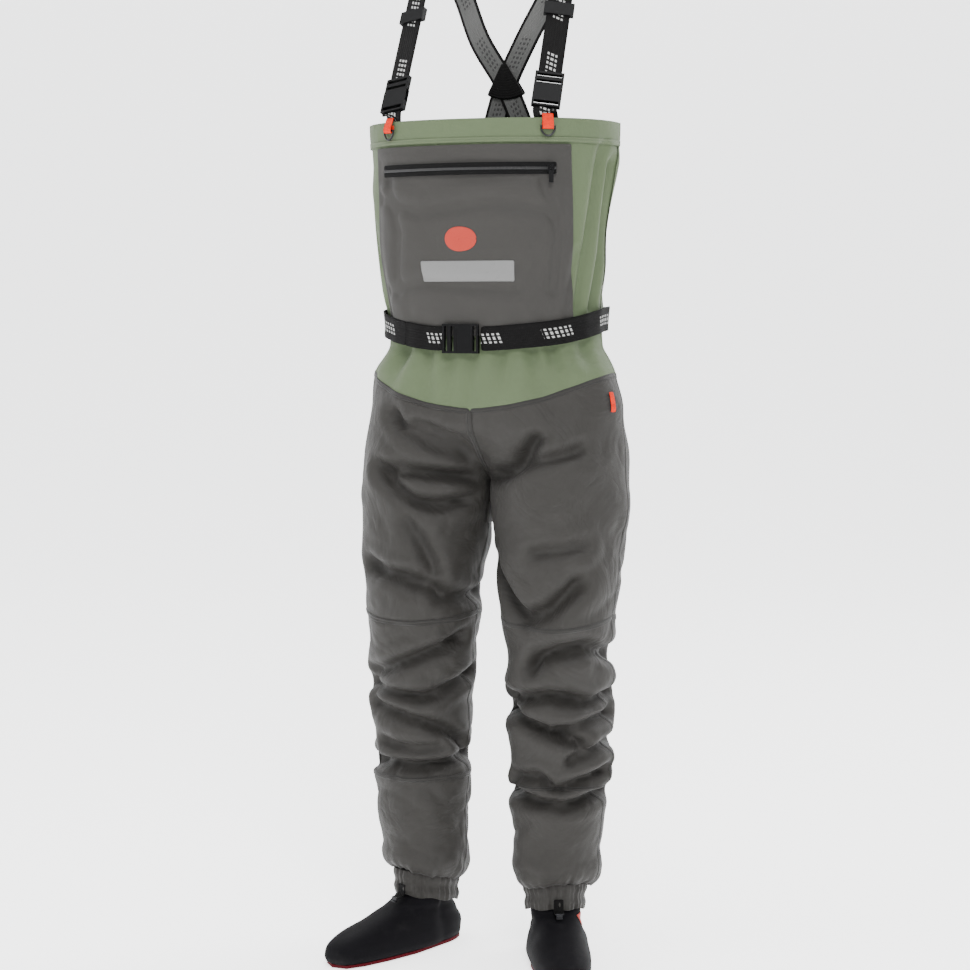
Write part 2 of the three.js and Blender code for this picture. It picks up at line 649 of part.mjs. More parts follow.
// Legs: thigh and shin panels, gravel guard, cuff and sock
const seamShare = 0.0016;
for (const [name, side] of sides) {
  for (const [faceName, face] of [["front", -1], ["back", 1]]) {
    const seamAngle = (share) => (face < 0 ? 90 - 90 * share : 90 + 90 * share);
    addNode(`thigh_${faceName}_${name}`, legShell(
      side, face, () => kneeSeam, (share) => waistSeam(seamAngle(share)) - gap, 12, 10, seamShare,
    ), "legGrey");
    addNode(`shin_${faceName}_${name}`, legShell(
      side, face, () => guardTop, () => kneeSeam - gap, 4, 10, seamShare,
    ), "legGrey");
  }
  const toes = side * THREE.MathUtils.degToRad(toeOut);
  const guardHeights = [guardBottom, guardBottom + 12, guardBottom + 34, 192, guardTop - gap];
  const guardRows = guardHeights.map((height, level) => {
    const row = [];
    const facets = 20;
    for (let j = 0; j < facets; j += 1) {
      const turn = j / facets * 2 * Math.PI;
      const [, centreX, centreY, half, front, back] = readStations(legStations, height);
      const depth = Math.sin(turn) < 0 ? front : back;
      const [x, y] = [side * centreX + half * Math.cos(turn), centreY + depth * Math.sin(turn)];
      const ahead = (x - side * ankleX) * Math.sin(toes) - (y - ankleY) * Math.cos(toes);
      row.push(new THREE.Vector3(x, y, height + (level < 2 ? cuffTilt * ahead : 0)));
    }
    return row;
  });
  addNode(`gravel_guard_${name}`, shellFromGrid(guardRows, clothWall, true), "legGrey");

  // The foot's frame: local -y points at the toes
  const foot = new THREE.Group();
  foot.position.set(side * ankleX, ankleY, 0);
  foot.rotation.z = side * THREE.MathUtils.degToRad(toeOut);
  product.add(foot);
  const cuffRow = (height, halfWidth, halfLength) => Array.from({ length: 20 }, (_, j) => {
    const turn = j / 20 * 2 * Math.PI;
    const y = cuffSetBack + halfLength * Math.sin(turn);
    return new THREE.Vector3(halfWidth * Math.cos(turn), y, height - cuffTilt * y);
  });
  addNode(`guard_cuff_${name}`, shellFromGrid([
    cuffRow(cuffBottom, cuffHalfWidth, cuffHalfLength),
    cuffRow(cuffTop, cuffHalfWidth, cuffHalfLength),
    cuffRow(guardBottom - 2, cuffHalfWidth + 4, cuffHalfLength),
  ], cuffWall, true), "legGrey", foot);
  const sockRows = [];
  const sockStations = [
    // height, toe reach, heel reach, half width
    [soleWall + gap, 0.985, 0.985, 0.93],
    [18, 1, 1, 1],
    [32, 0.97, 1.0, 0.98],
    [45, 0.84, 0.93, 0.9],
    [60, 0.56, 0.84, 0.8],
  ];
  const toeReach = footLength - heelBack;
  for (const [height, toe, heel, wide] of sockStations) {
    sockRows.push(footRow(height, toeReach * toe, heelBack * heel, footWidth / 2 * wide));
  }
  // From the instep up, the sock fits inside the cuff
  const insideCuff = cuffWall + ankleClear;
  const ankleToe = cuffHalfLength - cuffSetBack - insideCuff;
  const ankleHeel = cuffHalfLength + cuffSetBack - insideCuff;
  const ankleWide = cuffHalfWidth - insideCuff;
  sockRows.push(footRow(cuffBottom - 8, ankleToe + 34, ankleHeel, ankleWide));
  sockRows.push(footRow(cuffBottom + 8, ankleToe, ankleHeel, ankleWide));
  sockRows.push(footRow(sockTop, ankleToe - 2, ankleHeel - 1, ankleWide - 1));
  addNode(`sock_${name}`, cupFromRows(sockRows, neopreneWall), "neoprene", foot);
  const soleOutline = footRow(0, toeReach * 0.985, heelBack * 0.985, footWidth / 2 * 0.93);
  const soleShape = new THREE.Shape(soleOutline.map((p) => new THREE.Vector2(p.x, p.y)));
  const sole = new THREE.ExtrudeGeometry(soleShape, { depth: soleWall, bevelEnabled: false });
  addNode(`sock_sole_${name}`, sole, "sole", foot);

  // Lace hook on a webbing tab at the front of the cuff
  const cuffFront = cuffSetBack - cuffHalfLength;
  const rimHeight = cuffBottom - cuffTilt * cuffFront;
  const tabOut = cuffFront - gap - webWall / 2;
  const tabPoints = [
    { point: new THREE.Vector3(0, tabOut, rimHeight + 17), normal: new THREE.Vector3(0, -1, 0) },
    { point: new THREE.Vector3(0, tabOut - 0.4, rimHeight + 3), normal: new THREE.Vector3(0, -1, 0.1) },
    { point: new THREE.Vector3(0, tabOut - 5, rimHeight - 2.5), normal: new THREE.Vector3(0, -0.7, 0.7) },
    { point: new THREE.Vector3(0, tabOut - 15, rimHeight - 3), normal: new THREE.Vector3(0, -0.1, 1) },
  ];
  addNode(`hook_tab_${name}`, ribbon(tabPoints, hookTabWidth, webWall), "black", foot);
  const hookY = tabOut - 15 - 1.2 - gap;
  const hookZ = rimHeight - 3;
  const hook = block([-5, hookY - 0.9, hookZ - 7], [5, hookY + 0.9, hookZ])
    .add(block([-5, hookY - 4, hookZ - 7], [5, hookY - 0.9, hookZ - 5.4]))
    .add(rodAlongX(1.2, 13, hookY, hookZ));
  addNode(`lace_hook_${name}`, asGeometry(hook), "steel", foot);
}

// One ring of the foot: an egg, rounder at the heel, with its toes towards -y
function footRow(height, toeReach, heelReach, halfWidth) {
  const facets = 20;
  return Array.from({ length: facets }, (_, j) => {
    const turn = j / facets * 2 * Math.PI;
    const sine = Math.sin(turn);
    const ahead = sine < 0;
    const narrow = ahead ? 1 : 0.86;
    const blunt = ahead ? THREE.MathUtils.lerp(0.9, 0.6, Math.min(toeReach / footLength, 0.6) / 0.6) : 0.85;
    const x = halfWidth * narrow * Math.sign(Math.cos(turn)) * Math.abs(Math.cos(turn)) ** blunt;
    return new THREE.Vector3(x, ahead ? toeReach * sine : heelReach * sine, height);
  });
}

// Cup from rings of points, lowest first: closed underneath, open at the top
function cupFromRows(rows, wall) {
  const count = rows[0].length;
  const positions = [];
  const addRing = (points) => {
    const start = positions.length / 3;
    for (const p of points) positions.push(p.x, p.y, p.z);
    return start;
  };
  const shrink = (row, height) => row.map((p, j) => {
    const before = row[(j + count - 1) % count];
    const after = row[(j + 1) % count];
    const along = new THREE.Vector2(after.x - before.x, after.y - before.y).normalize();
    return new THREE.Vector3(p.x - along.y * wall, p.y + along.x * wall, height ?? p.z);
  });
  const outer = rows.map((row) => addRing(row));
  const inner = rows.map((row, i) => addRing(shrink(row, i === 0 ? row[0].z + wall : undefined)));
  const faces = [];
  const band = (low, high) => {
    for (let j = 0; j < count; j += 1) {
      const k = (j + 1) % count;
      faces.push(low + j, low + k, high + k, low + j, high + k, high + j);
    }
  };
  for (let i = 0; i < rows.length - 1; i += 1) {
    band(outer[i], outer[i + 1]);
    band(inner[i + 1], inner[i]);
  }
  band(outer[rows.length - 1], inner[rows.length - 1]);
  const outerMiddle = addRing([new THREE.Vector3(0, -40, rows[0][0].z)]);
  const innerMiddle = addRing([new THREE.Vector3(0, -40, rows[0][0].z + wall)]);
  for (let j = 0; j < count; j += 1) {
    const k = (j + 1) % count;
    faces.push(outerMiddle, outer[0] + k, outer[0] + j, innerMiddle, inner[0] + j, inner[0] + k);
  }
  return indexedGeometry(positions, faces);
}

// Gusset: a saddle under the crotch, between the legs and clear of both
const gussetHalf = 52;
const gussetDrop = 52;
const gussetThick = 7;
const gussetRows = 8;
const gussetColumns = 8;
function legInnerX(y, height) {
  const [, centreX, centreY, half, front, back] = readStations(legStations, height);
  const depth = y < centreY ? front : back;
  const slice = Math.sqrt(Math.max(1 - ((y - centreY) / depth) ** 2, 0));
  return centreX - half * slice;
}
function gussetPoint(u, v, drop) {
  const y = THREE.MathUtils.lerp(-gussetHalf, gussetHalf, u) + readStations(legStations, crotch)[2];
  const height = crotch - 8 - gussetDrop * Math.abs(v) - drop;
  const reach = Math.max(legInnerX(y, height + drop) - 1.5, 0) - drop * 0.12;
  return new THREE.Vector3(Math.sign(v) * Math.max(reach, 0) * Math.min(Math.abs(v) * 4, 1), y, height);
}
const gussetGrid = (drop) => Array.from({ length: gussetRows + 1 }, (_, i) => (
  Array.from({ length: gussetColumns + 1 }, (__, j) => (
    gussetPoint(i / gussetRows, (j / gussetColumns) * 2 - 1, drop)
  ))
));
addNode("crotch_gusset", closedSheet(gussetGrid(0), gussetGrid(gussetThick)), "legGrey");

// Puts the middle of the whole over x = 0, y = 0
product.updateMatrixWorld(true);
const whole = new THREE.Box3().setFromObject(product, true);
const centred = new THREE.Group();
product.position.set(-(whole.min.x + whole.max.x) / 2, -(whole.min.y + whole.max.y) / 2, -whole.min.z);
centred.add(product);

export default centred;
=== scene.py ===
import json
import math
import bpy
import numpy as np
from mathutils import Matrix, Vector, noise
from mathutils.bvhtree import BVHTree


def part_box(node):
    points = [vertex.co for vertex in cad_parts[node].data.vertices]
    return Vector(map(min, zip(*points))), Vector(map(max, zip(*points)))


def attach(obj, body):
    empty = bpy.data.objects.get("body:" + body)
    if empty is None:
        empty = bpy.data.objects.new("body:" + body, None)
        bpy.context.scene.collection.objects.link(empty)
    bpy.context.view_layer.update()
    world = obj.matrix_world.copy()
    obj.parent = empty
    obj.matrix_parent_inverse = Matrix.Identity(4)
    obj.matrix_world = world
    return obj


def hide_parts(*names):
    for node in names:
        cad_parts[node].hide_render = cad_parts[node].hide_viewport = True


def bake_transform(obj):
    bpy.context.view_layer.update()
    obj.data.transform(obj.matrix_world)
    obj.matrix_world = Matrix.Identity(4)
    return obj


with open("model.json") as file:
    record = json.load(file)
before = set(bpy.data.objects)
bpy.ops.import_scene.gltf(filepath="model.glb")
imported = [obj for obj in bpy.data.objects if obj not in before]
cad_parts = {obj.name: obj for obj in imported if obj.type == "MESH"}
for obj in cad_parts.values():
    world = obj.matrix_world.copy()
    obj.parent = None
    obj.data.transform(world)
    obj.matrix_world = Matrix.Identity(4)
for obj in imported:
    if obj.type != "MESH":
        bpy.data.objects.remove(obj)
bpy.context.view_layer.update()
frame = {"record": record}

scene = bpy.context.scene
bpy.ops.object.select_all(action="DESELECT")
shiftY = 0.05487318  # from the body's widest line to the part's origin


# camera, floor and lights

view = {
    "turn": 20.0,  # degrees towards the wearer's left
    "distance": 3.5,
    "height": 1.085,
    "aimX": 0.0,
    "aimZ": 0.785,
    "lens": 79.0,
}


def addCamera(v):
    turn = math.radians(v["turn"])
    place = Vector((v["distance"] * math.sin(turn), -v["distance"] * math.cos(turn), v["height"]))
    aim = Vector((v["aimX"] * math.cos(turn), v["aimX"] * math.sin(turn), v["aimZ"]))
    bpy.ops.object.camera_add(location=place)
    camera = bpy.context.object
    camera.rotation_euler = (aim - place).to_track_quat("-Z", "Y").to_euler()
    camera.data.lens = v["lens"]
    camera.data.sensor_width = 36
    scene.camera = camera


addCamera(view)

studio = {
    "reach": 30.0,
    "bend": 4.0,
    "radius": 4.0,
    "paper": (0.9, 0.9, 0.9, 1),
    "glow": 1.5,
    "lights": [  # name, place, size, power
        ("keyLight", (1.6, -3.2, 3.6), 1.6, 190),
        ("fillLight", (-3.4, -1.6, 2.2), 2.0, 60),
        ("rimLight", (2.2, 2.6, 3.0), 2.0, 90),
        ("topLight", (0.0, -0.4, 4.4), 2.0, 110),
    ],
}


def addStudio(s):
    # a pale sweep of paper: floor in front, curved up behind
    profile = [(-s["reach"], 0.0), (s["bend"], 0.0)]
    for k in range(1, 13):
        turn = math.pi / 2 * k / 12
        profile.append((s["bend"] + s["radius"] * math.sin(turn), s["radius"] * (1 - math.cos(turn))))
    profile.append((s["bend"] + s["radius"], s["reach"]))
    points, faces = [], []
    turn = math.radians(view["turn"])
    for depth, height in profile:
        for across in (-s["reach"], s["reach"]):
            points.append((across * math.cos(turn) - depth * math.sin(turn),
                           across * math.sin(turn) + depth * math.cos(turn), height - 0.001))
    faces = [(2 * k, 2 * k + 1, 2 * k + 3, 2 * k + 2) for k in range(len(profile) - 1)]
    mesh = bpy.data.meshes.new("studio_floor")
    mesh.from_pydata(points, [], faces)
    for polygon in mesh.polygons:
        polygon.use_smooth = True
    floor = bpy.data.objects.new("studio_floor", mesh)
    scene.collection.objects.link(floor)
    material = bpy.data.materials.new("studioPaper")
    material.use_nodes = True
    shader = material.node_tree.nodes["Principled BSDF"]
    shader.inputs["Base Color"].default_value = s["paper"]
    shader.inputs["Roughness"].default_value = 0.9
    shader.inputs["Emission Color"].default_value = (1, 1, 1, 1)
    shader.inputs["Emission Strength"].default_value = s["glow"]
    mesh.materials.append(material)
    for name, place, size, power in s["lights"]:
        bpy.ops.object.light_add(type="AREA", location=place)
        light = bpy.context.object
        light.name = name
        light.data.size = size
        light.data.energy = power
        light.rotation_euler = (Vector((0, 0, 0.8)) - Vector(place)).to_track_quat("-Z", "Y").to_euler()
    world = bpy.data.worlds.new("studioAir")
    scene.world = world
    world.use_nodes = True
    world.node_tree.nodes["Background"].inputs["Color"].default_value = (0.95, 0.97, 1, 1)
    world.node_tree.nodes["Background"].inputs["Strength"].default_value = 1.0


addStudio(studio)
print("studio ready")


# shapes of the garment

# height, half width, depth in front of the widest line, depth behind it
bodyStations = [
    (1.380, 0.210, 0.160, 0.072),
    (1.285, 0.203, 0.154, 0.078),
    (1.170, 0.192, 0.144, 0.086),
    (1.085, 0.184, 0.130, 0.094),
    (1.045, 0.180, 0.121, 0.098),
    (1.010, 0.184, 0.121, 0.102),
    (0.975, 0.206, 0.130, 0.112),
    (0.915, 0.219, 0.136, 0.122),
    (0.845, 0.225, 0.134, 0.128),
    (0.767, 0.229, 0.128, 0.130),
]
# height, centre x, centre y, half width, front depth, back depth
legStations = [
    (0.895, 0.115, -0.002, 0.115, 0.132, 0.130),
    (0.767, 0.115, -0.004, 0.1145, 0.124, 0.124),
    (0.705, 0.117, -0.014, 0.107, 0.110, 0.108),
    (0.645, 0.119, -0.024, 0.100, 0.103, 0.100),
    (0.570, 0.121, -0.030, 0.094, 0.097, 0.094),
    (0.485, 0.122, -0.028, 0.088, 0.090, 0.088),
    (0.395, 0.122, -0.025, 0.083, 0.086, 0.084),
    (0.295, 0.121, -0.024, 0.078, 0.081, 0.078),
    (0.215, 0.120, -0.027, 0.075, 0.078, 0.075),
    (0.130, 0.118, -0.031, 0.068, 0.072, 0.069),
    (0.106, 0.117, -0.034, 0.058, 0.062, 0.060),
]
cut = {
    "bibTop": 1.375,
    "hem": 0.038,
    "beltFront": 1.027,
    "beltSide": 1.059,
    "waistSeamFront": 0.911,
    "waistSeamSide": 0.967,
    "riseTop": 0.895,
    "crotch": 0.767,
    "kneeSeam": 0.573,
    "guardTop": 0.295,
    "guardBottom": 0.118,
    "roundness": 2 / 2.3,
}


def readStations(stations, height):
    table = np.array(stations[::-1])
    return [np.interp(height, table[:, 0], table[:, i]) for i in range(1, table.shape[1])]


def roundPower(value):
    return np.sign(value) * np.abs(value) ** cut["roundness"]


def bodyPlan(angle, height):
    half, front, back = readStations(bodyStations, height)
    depth = np.where(np.cos(angle) > 0, front, back)
    return np.stack([half * roundPower(np.sin(angle)), -depth * roundPower(np.cos(angle))], -1)


def legPlan(share, face, height):
    # share runs from the outer seam, 0, to the inner seam, 1; face is -1 in front and 1 behind
    centreX, centreY, half, front, back = readStations(legStations, height)
    bodyHalf, bodyFront, bodyBack = readStations(bodyStations, height)
    turn = share * math.pi
    blend = np.clip((cut["riseTop"] - height) / (cut["riseTop"] - cut["crotch"]), 0, 1)
    blend = blend * blend * (3 - 2 * blend)
    legDepth = front if face < 0 else back
    bodyDepth = bodyFront if face < 0 else bodyBack
    legX = centreX + half * np.cos(turn)
    legY = centreY + face * legDepth * np.sin(turn)
    bodyX = bodyHalf * roundPower(np.cos(turn / 2))
    bodyY = face * bodyDepth * roundPower(np.sin(turn / 2))
    return np.stack([bodyX + (legX - bodyX) * blend, bodyY + (legY - bodyY) * blend], -1)


def waistSeam(angle):
    rise = cut["waistSeamSide"] - cut["waistSeamFront"]
    return cut["waistSeamFront"] + rise * np.abs(np.sin(angle)) ** 1.5


def beltLine(angle):
    away = np.minimum(np.abs((angle + math.pi) % (2 * math.pi) - math.pi), math.radians(110))
    side = 0.5 - 0.5 * np.cos(away / math.radians(110) * math.pi)
    return cut["beltFront"] + (cut["beltSide"] - cut["beltFront"]) * side


# folds, each a depth, a width and a line of (degrees round from the front, height)

legFolds = {
    "right": [
        (0.016, 0.013, [(-24, 0.817), (-13, 0.815), (34, 0.806), (81, 0.794)]),
        (0.015, 0.014, [(-20, 0.802), (-16, 0.796), (8, 0.762), (25, 0.754), (64, 0.769)]),
        (0.012, 0.014, [(-12, 0.901), (-5, 0.884), (24, 0.851), (52, 0.835)]),
        (0.010, 0.012, [(10, 0.887), (34, 0.863), (60, 0.845)]),
        (0.014, 0.015, [(-48, 0.651), (-40, 0.647), (0, 0.637), (34, 0.617)]),
        (0.010, 0.014, [(2, 0.729), (17, 0.691), (32, 0.645)]),
        (0.014, 0.013, [(-70, 0.449), (-21, 0.440), (22, 0.433), (98, 0.470)]),
        (0.014, 0.013, [(-60, 0.469), (-30, 0.475), (13, 0.501), (69, 0.533)]),
        (0.013, 0.013, [(-50, 0.417), (19, 0.395), (47, 0.379), (76, 0.350)]),
        (0.017, 0.012, [(-80, 0.313), (-32, 0.317), (20, 0.316), (80, 0.324), (120, 0.327)]),
        (0.012, 0.014, [(40, 0.605), (75, 0.597), (110, 0.601)]),
        (0.010, 0.012, [(-30, 0.355), (10, 0.345), (40, 0.349)]),
    ],
    "left": [
        (0.014, 0.013, [(-75, 0.803), (-46, 0.805), (-26, 0.815), (-2, 0.864)]),
        (0.010, 0.012, [(-10, 0.829), (5, 0.835), (34, 0.850)]),
        (0.016, 0.016, [(-62, 0.657), (-38, 0.607), (-17, 0.577), (8, 0.590), (36, 0.633)]),
        (0.015, 0.015, [(-12, 0.497), (-4, 0.513), (16, 0.527), (45, 0.533), (80, 0.515), (125, 0.507)]),
        (0.016, 0.014, [(-70, 0.441), (-37, 0.441), (7, 0.453), (57, 0.437), (110, 0.447)]),
        (0.018, 0.013, [(-85, 0.420), (-36, 0.412), (9, 0.390), (43, 0.372)]),
        (0.014, 0.012, [(16, 0.395), (60, 0.407), (100, 0.415)]),
        (0.013, 0.012, [(30, 0.345), (70, 0.363), (120, 0.371)]),
        (0.013, 0.012, [(-50, 0.307), (-10, 0.315), (14, 0.293), (40, 0.307), (80, 0.323)]),
        (0.017, 0.012, [(-90, 0.283), (-45, 0.279), (24, 0.267), (70, 0.279), (110, 0.285)]),
        (0.008, 0.012, [(-5, 0.685), (22, 0.691), (40, 0.697)]),
    ],
}



def distanceToLine(x, z, points):
    best = np.full(x.shape, 9.0)
    for (ax, az), (bx, bz) in zip(points[:-1], points[1:]):
        dx, dz = bx - ax, bz - az
        t = np.clip(((x - ax) * dx + (z - az) * dz) / (dx * dx + dz * dz), 0, 1)
        best = np.minimum(best, np.hypot(x - ax - t * dx, z - az - t * dz))
    return best


def foldDepth(folds, degrees, height, radius, narrow=1.0, power=1.6):
    # a valley along each line with a low ridge on both sides of it
    total = np.zeros(degrees.shape)
    metresPerDegree = math.pi / 180 * radius
    for depth, width, line in folds:
        flat = [(a * metresPerDegree, z) for a, z in line]
        nearest = np.full(degrees.shape, 9.0)
        for lap in (-360, 0, 360):
            along = (degrees + lap) * metresPerDegree
            nearest = np.minimum(nearest, distanceToLine(along, height, flat))
        d = nearest / (width * narrow)
        total += -1.5 * depth * (1 - 0.6 * d ** (power + 0.4)) * np.exp(-d ** power / 1.25)
    return total


def smoothStep(value, low, high):
    t = np.clip((value - low) / (high - low), 0, 1)
    return t * t * (3 - 2 * t)


# shader nodes written as sums

class Value:
    def __init__(self, paint, socket):
        self.paint = paint
        self.socket = socket

    def __add__(self, other):
        return self.paint.maths("ADD", self, other)

    def __radd__(self, other):
        return self.paint.maths("ADD", other, self)

    def __sub__(self, other):
        return self.paint.maths("SUBTRACT", self, other)

    def __rsub__(self, other):
        return self.paint.maths("SUBTRACT", other, self)

    def __mul__(self, other):
        return self.paint.maths("MULTIPLY", self, other)

    def __rmul__(self, other):
        return self.paint.maths("MULTIPLY", other, self)

    def __truediv__(self, other):
        return self.paint.maths("DIVIDE", self, other)

    def __rtruediv__(self, other):
        return self.paint.maths("DIVIDE", other, self)

    def __mod__(self, other):
        return self.paint.maths("FLOORED_MODULO", self, other)

    def __gt__(self, other):
        return self.paint.maths("GREATER_THAN", self, other)

    def __lt__(self, other):
        return self.paint.maths("LESS_THAN", self, other)

    def __abs__(self):
        return self.paint.maths("ABSOLUTE", self)


class Paint:
    def __init__(self, name):
        self.material = bpy.data.materials.new(name)
        self.material.use_nodes = True
        self.tree = self.material.node_tree
        self.shader = self.tree.nodes["Principled BSDF"]

    def node(self, kind, settings=None, **sockets):
        made = self.tree.nodes.new(kind)
        for key, value in (settings or {}).items():
            setattr(made, key, value)
        for key, value in sockets.items():
            self.put(made.inputs[key.replace("_", " ")], value)
        return made

    def put(self, target, value):
        if isinstance(value, Value):
            value = value.socket
        if isinstance(value, bpy.types.NodeSocket):
            self.tree.links.new(value, target)
        else:
            target.default_value = value

    def maths(self, operation, *values):
        made = self.tree.nodes.new("ShaderNodeMath")
        made.operation = operation
        for target, value in zip(made.inputs, values):
            self.put(target, value)
        return Value(self, made.outputs[0])

    def flat(self, name="flat"):
        # metres along and across the cloth
        split = self.node("ShaderNodeSeparateXYZ",
                          Vector=self.node("ShaderNodeUVMap", {"uv_map": name}).outputs[0])
        return Value(self, split.outputs[0]), Value(self, split.outputs[1])

    def place(self):
        return self.node("ShaderNodeTexCoord").outputs["Object"]

    def noise(self, scale, detail=3.0, roughness=0.55, distortion=0.0, vector=None):
        made = self.node("ShaderNodeTexNoise", Vector=vector or self.place(), Scale=scale, Detail=detail,
                         Roughness=roughness, Distortion=distortion)
        return Value(self, made.outputs["Fac"])

    def wave(self, value, length):
        return self.maths("SINE", value * (2 * math.pi / length))

    def clamp(self, value):
        made = self.node("ShaderNodeClamp")
        self.put(made.inputs[0], value)
        return Value(self, made.outputs[0])

    def blend(self, factor, first, second):
        made = self.node("ShaderNodeMix", {"data_type": "RGBA"})
        self.put(made.inputs[0], factor)
        self.put(made.inputs[6], first)
        self.put(made.inputs[7], second)
        return made.outputs[2]

    def finish(self, colour, roughness, height=None, strength=0.4, distance=0.001, **constants):
        self.put(self.shader.inputs["Base Color"], colour)
        self.put(self.shader.inputs["Roughness"], roughness)
        for key, value in constants.items():
            self.put(self.shader.inputs[key.replace("_", " ")], value)
        if height is not None:
            bump = self.node("ShaderNodeBump", Height=height, Strength=strength, Distance=distance)
            self.put(self.shader.inputs["Normal"], bump.outputs[0])
        return self.material


def fabric(name, tint, look):
    # coated shell cloth: fine ripstop weave, soft creases, slightly uneven dye
    paint = Paint(name)
    u, v = paint.flat()
    weave = paint.wave(u, look["thread"]) * paint.wave(v, look["thread"])
    ripstop = paint.maths("PINGPONG", u, look["grid"]) < look["thread"] * 0.35
    ripstopAcross = paint.maths("PINGPONG", v, look["grid"]) < look["thread"] * 0.35
    crease = paint.noise(look["creaseScale"], 4, 0.6, 0.8)
    sharp = abs(paint.noise(look["creaseScale"] * 0.6, 3, 0.55, 1.2) - 0.5)
    fine = paint.noise(95, 3, 0.6)
    height = weave * 0.05 + (ripstop
                             + ripstopAcross) * 0.03 + crease * 1.1 + sharp * look["sharp"] + fine * 0.22
    tone = paint.clamp(paint.noise(4, 3) * 1.1 - 0.05 + (fine - 0.5) * 0.35 + weave * 0.1)
    dark = (tint[0] * 0.86, tint[1] * 0.86, tint[2] * 0.86, 1)
    light = (tint[0] * 1.12, tint[1] * 1.12, tint[2] * 1.12, 1)
    colour = paint.blend(tone, dark, light)
    rub = paint.clamp((paint.noise(9, 4, 0.7) - 0.58) * 5)
    colour = paint.blend(rub * 0.12, colour, (tint[0] * 1.5, tint[1] * 1.5, tint[2] * 1.5, 1))
    rough = look["roughness"] + (fine - 0.5) * 0.12 - rub * 0.05
    return paint.finish(colour, rough, height, look["bump"], 0.0014, Sheen_Weight=look["sheen"],
                        Sheen_Roughness=0.5, Specular_IOR_Level=look["specular"])


def stitched(name, tint, look):
    # narrow seam with two rows of stitches along it
    paint = Paint(name)
    u, v = paint.flat()
    row = abs(abs(v) - look["row"])
    onRow = row < 0.0006
    dash = (u % look["pitch"]) < look["pitch"] * 0.72
    thread = onRow * dash
    groove = paint.clamp(1 - row / 0.0014)
    weave = paint.wave(u, 0.0011) * paint.wave(v, 0.0011)
    height = thread * 1.3 - groove * 0.9 + weave * 0.08 + paint.noise(60, 3) * 0.5
    tone = paint.noise(30, 3)
    cloth = paint.blend(tone, (tint[0] * 0.82, tint[1] * 0.82, tint[2] * 0.82, 1),
                        (tint[0] * 1.02, tint[1] * 1.02, tint[2] * 1.02, 1))
    # the cloth is painted darker in the groove beside each row of stitches: painted shade in the recess
    cloth = paint.blend(groove * 0.35, cloth, (tint[0] * 0.5, tint[1] * 0.5, tint[2] * 0.5, 1))
    colour = paint.blend(thread, cloth, look["thread"])
    return paint.finish(colour, 0.7 + (tone - 0.5) * 0.15, height, 0.5, 0.001, Sheen_Weight=0.05,
                        Specular_IOR_Level=0.25)


def webbing(name, look):
    # ribbed black webbing, with pale dashes woven in where asked
    paint = Paint(name)
    u, v = paint.flat()
    rib = paint.wave(u, 0.0021)
    twill = paint.wave(u + v, 0.0032)
    wale = paint.wave(v, 0.0042)
    height = rib * 0.35 + twill * 0.35 + wale * 0.4 + paint.noise(260, 2) * 0.3
    tone = paint.noise(120, 3)
    dark = look["dark"]
    colour = paint.blend(tone, (dark[0] * 0.6, dark[1] * 0.6, dark[2] * 0.6, 1),
                         (dark[0] * 1.5, dark[1] * 1.5, dark[2] * 1.5, 1))
    if look["edge"]:
        inside = abs(v) < look["edge"]
        colour = paint.blend(inside, colour, look["middle"])
    if look["marks"]:
        slant = u + v * 0.35
        along = slant % look["repeat"]
        group = (along > look["repeat"] * 0.08) * (along < look["repeat"] * look["filled"])
        strokes = (slant % 0.0085) < 0.0044
        band = abs(v) < look["marks"]
        gap = abs(abs(v) - look["marks"] * 0.45) > 0.0012
        mark = group * strokes * band * gap
        colour = paint.blend(mark * (0.75 + rib * 0.2), colour, look["pale"])
    return paint.finish(colour, 0.62 + (tone - 0.5) * 0.2, height, 0.55, 0.0009, Sheen_Weight=0.0,
                        Specular_IOR_Level=0.06)


def plastic(name, tint, roughness):
    paint = Paint(name)
    grain = paint.noise(900, 2)
    wear = paint.clamp((paint.noise(45, 4, 0.7) - 0.6) * 6)
    colour = paint.blend(wear * 0.5, (tint[0], tint[1], tint[2], 1),
                         (tint[0] * 2 + 0.003, tint[1] * 2 + 0.003, tint[2] * 2 + 0.003, 1))
    return paint.finish(colour, roughness + (grain - 0.5) * 0.2 + wear * 0.12, grain, 0.12, 0.0003,
                        Specular_IOR_Level=0.1)


def printInk(name, tint, roughness):
    # ink on cloth: the weave shows through and it is slightly rubbed
    paint = Paint(name)
    u, v = paint.flat()
    weave = paint.wave(u, 0.0011) * paint.wave(v, 0.0011)
    rub = paint.clamp((paint.noise(160, 3, 0.7) - 0.6) * 5)
    colour = paint.blend(rub * 0.3, (tint[0], tint[1], tint[2], 1),
                         (tint[0] * 0.5, tint[1] * 0.5, tint[2] * 0.5, 1))
    return paint.finish(colour, roughness + rub * 0.2, weave * 0.2 + paint.noise(40, 3), 0.3, 0.0008)


def zipTeeth(name):
    paint = Paint(name)
    u, v = paint.flat()
    tooth = paint.wave(u, 0.0022)
    seam = paint.clamp(1 - abs(v) / 0.0004)
    # the teeth are painted lighter on their crests and darker between them and along the middle line where
    # they meet: painted highlight and painted shade
    shade = paint.clamp(tooth * 0.5 + 0.5 - seam)
    colour = paint.blend(shade, (0.006, 0.006, 0.006, 1), (0.010, 0.010, 0.0105, 1))
    return paint.finish(colour, 0.55 + shade * 0.1, tooth - seam * 2, 0.8, 0.0008)


def steel(name, tint):
    paint = Paint(name)
    brushed = paint.noise(400, 3, 0.6)
    stain = paint.noise(60, 3)
    colour = paint.blend(stain, (tint[0] * 0.7, tint[1] * 0.7, tint[2] * 0.7, 1),
                         (tint[0] * 1.2, tint[1] * 1.2, tint[2] * 1.2, 1))
    return paint.finish(colour, 0.28 + brushed * 0.25, brushed, 0.08, 0.0002, Metallic=1.0)


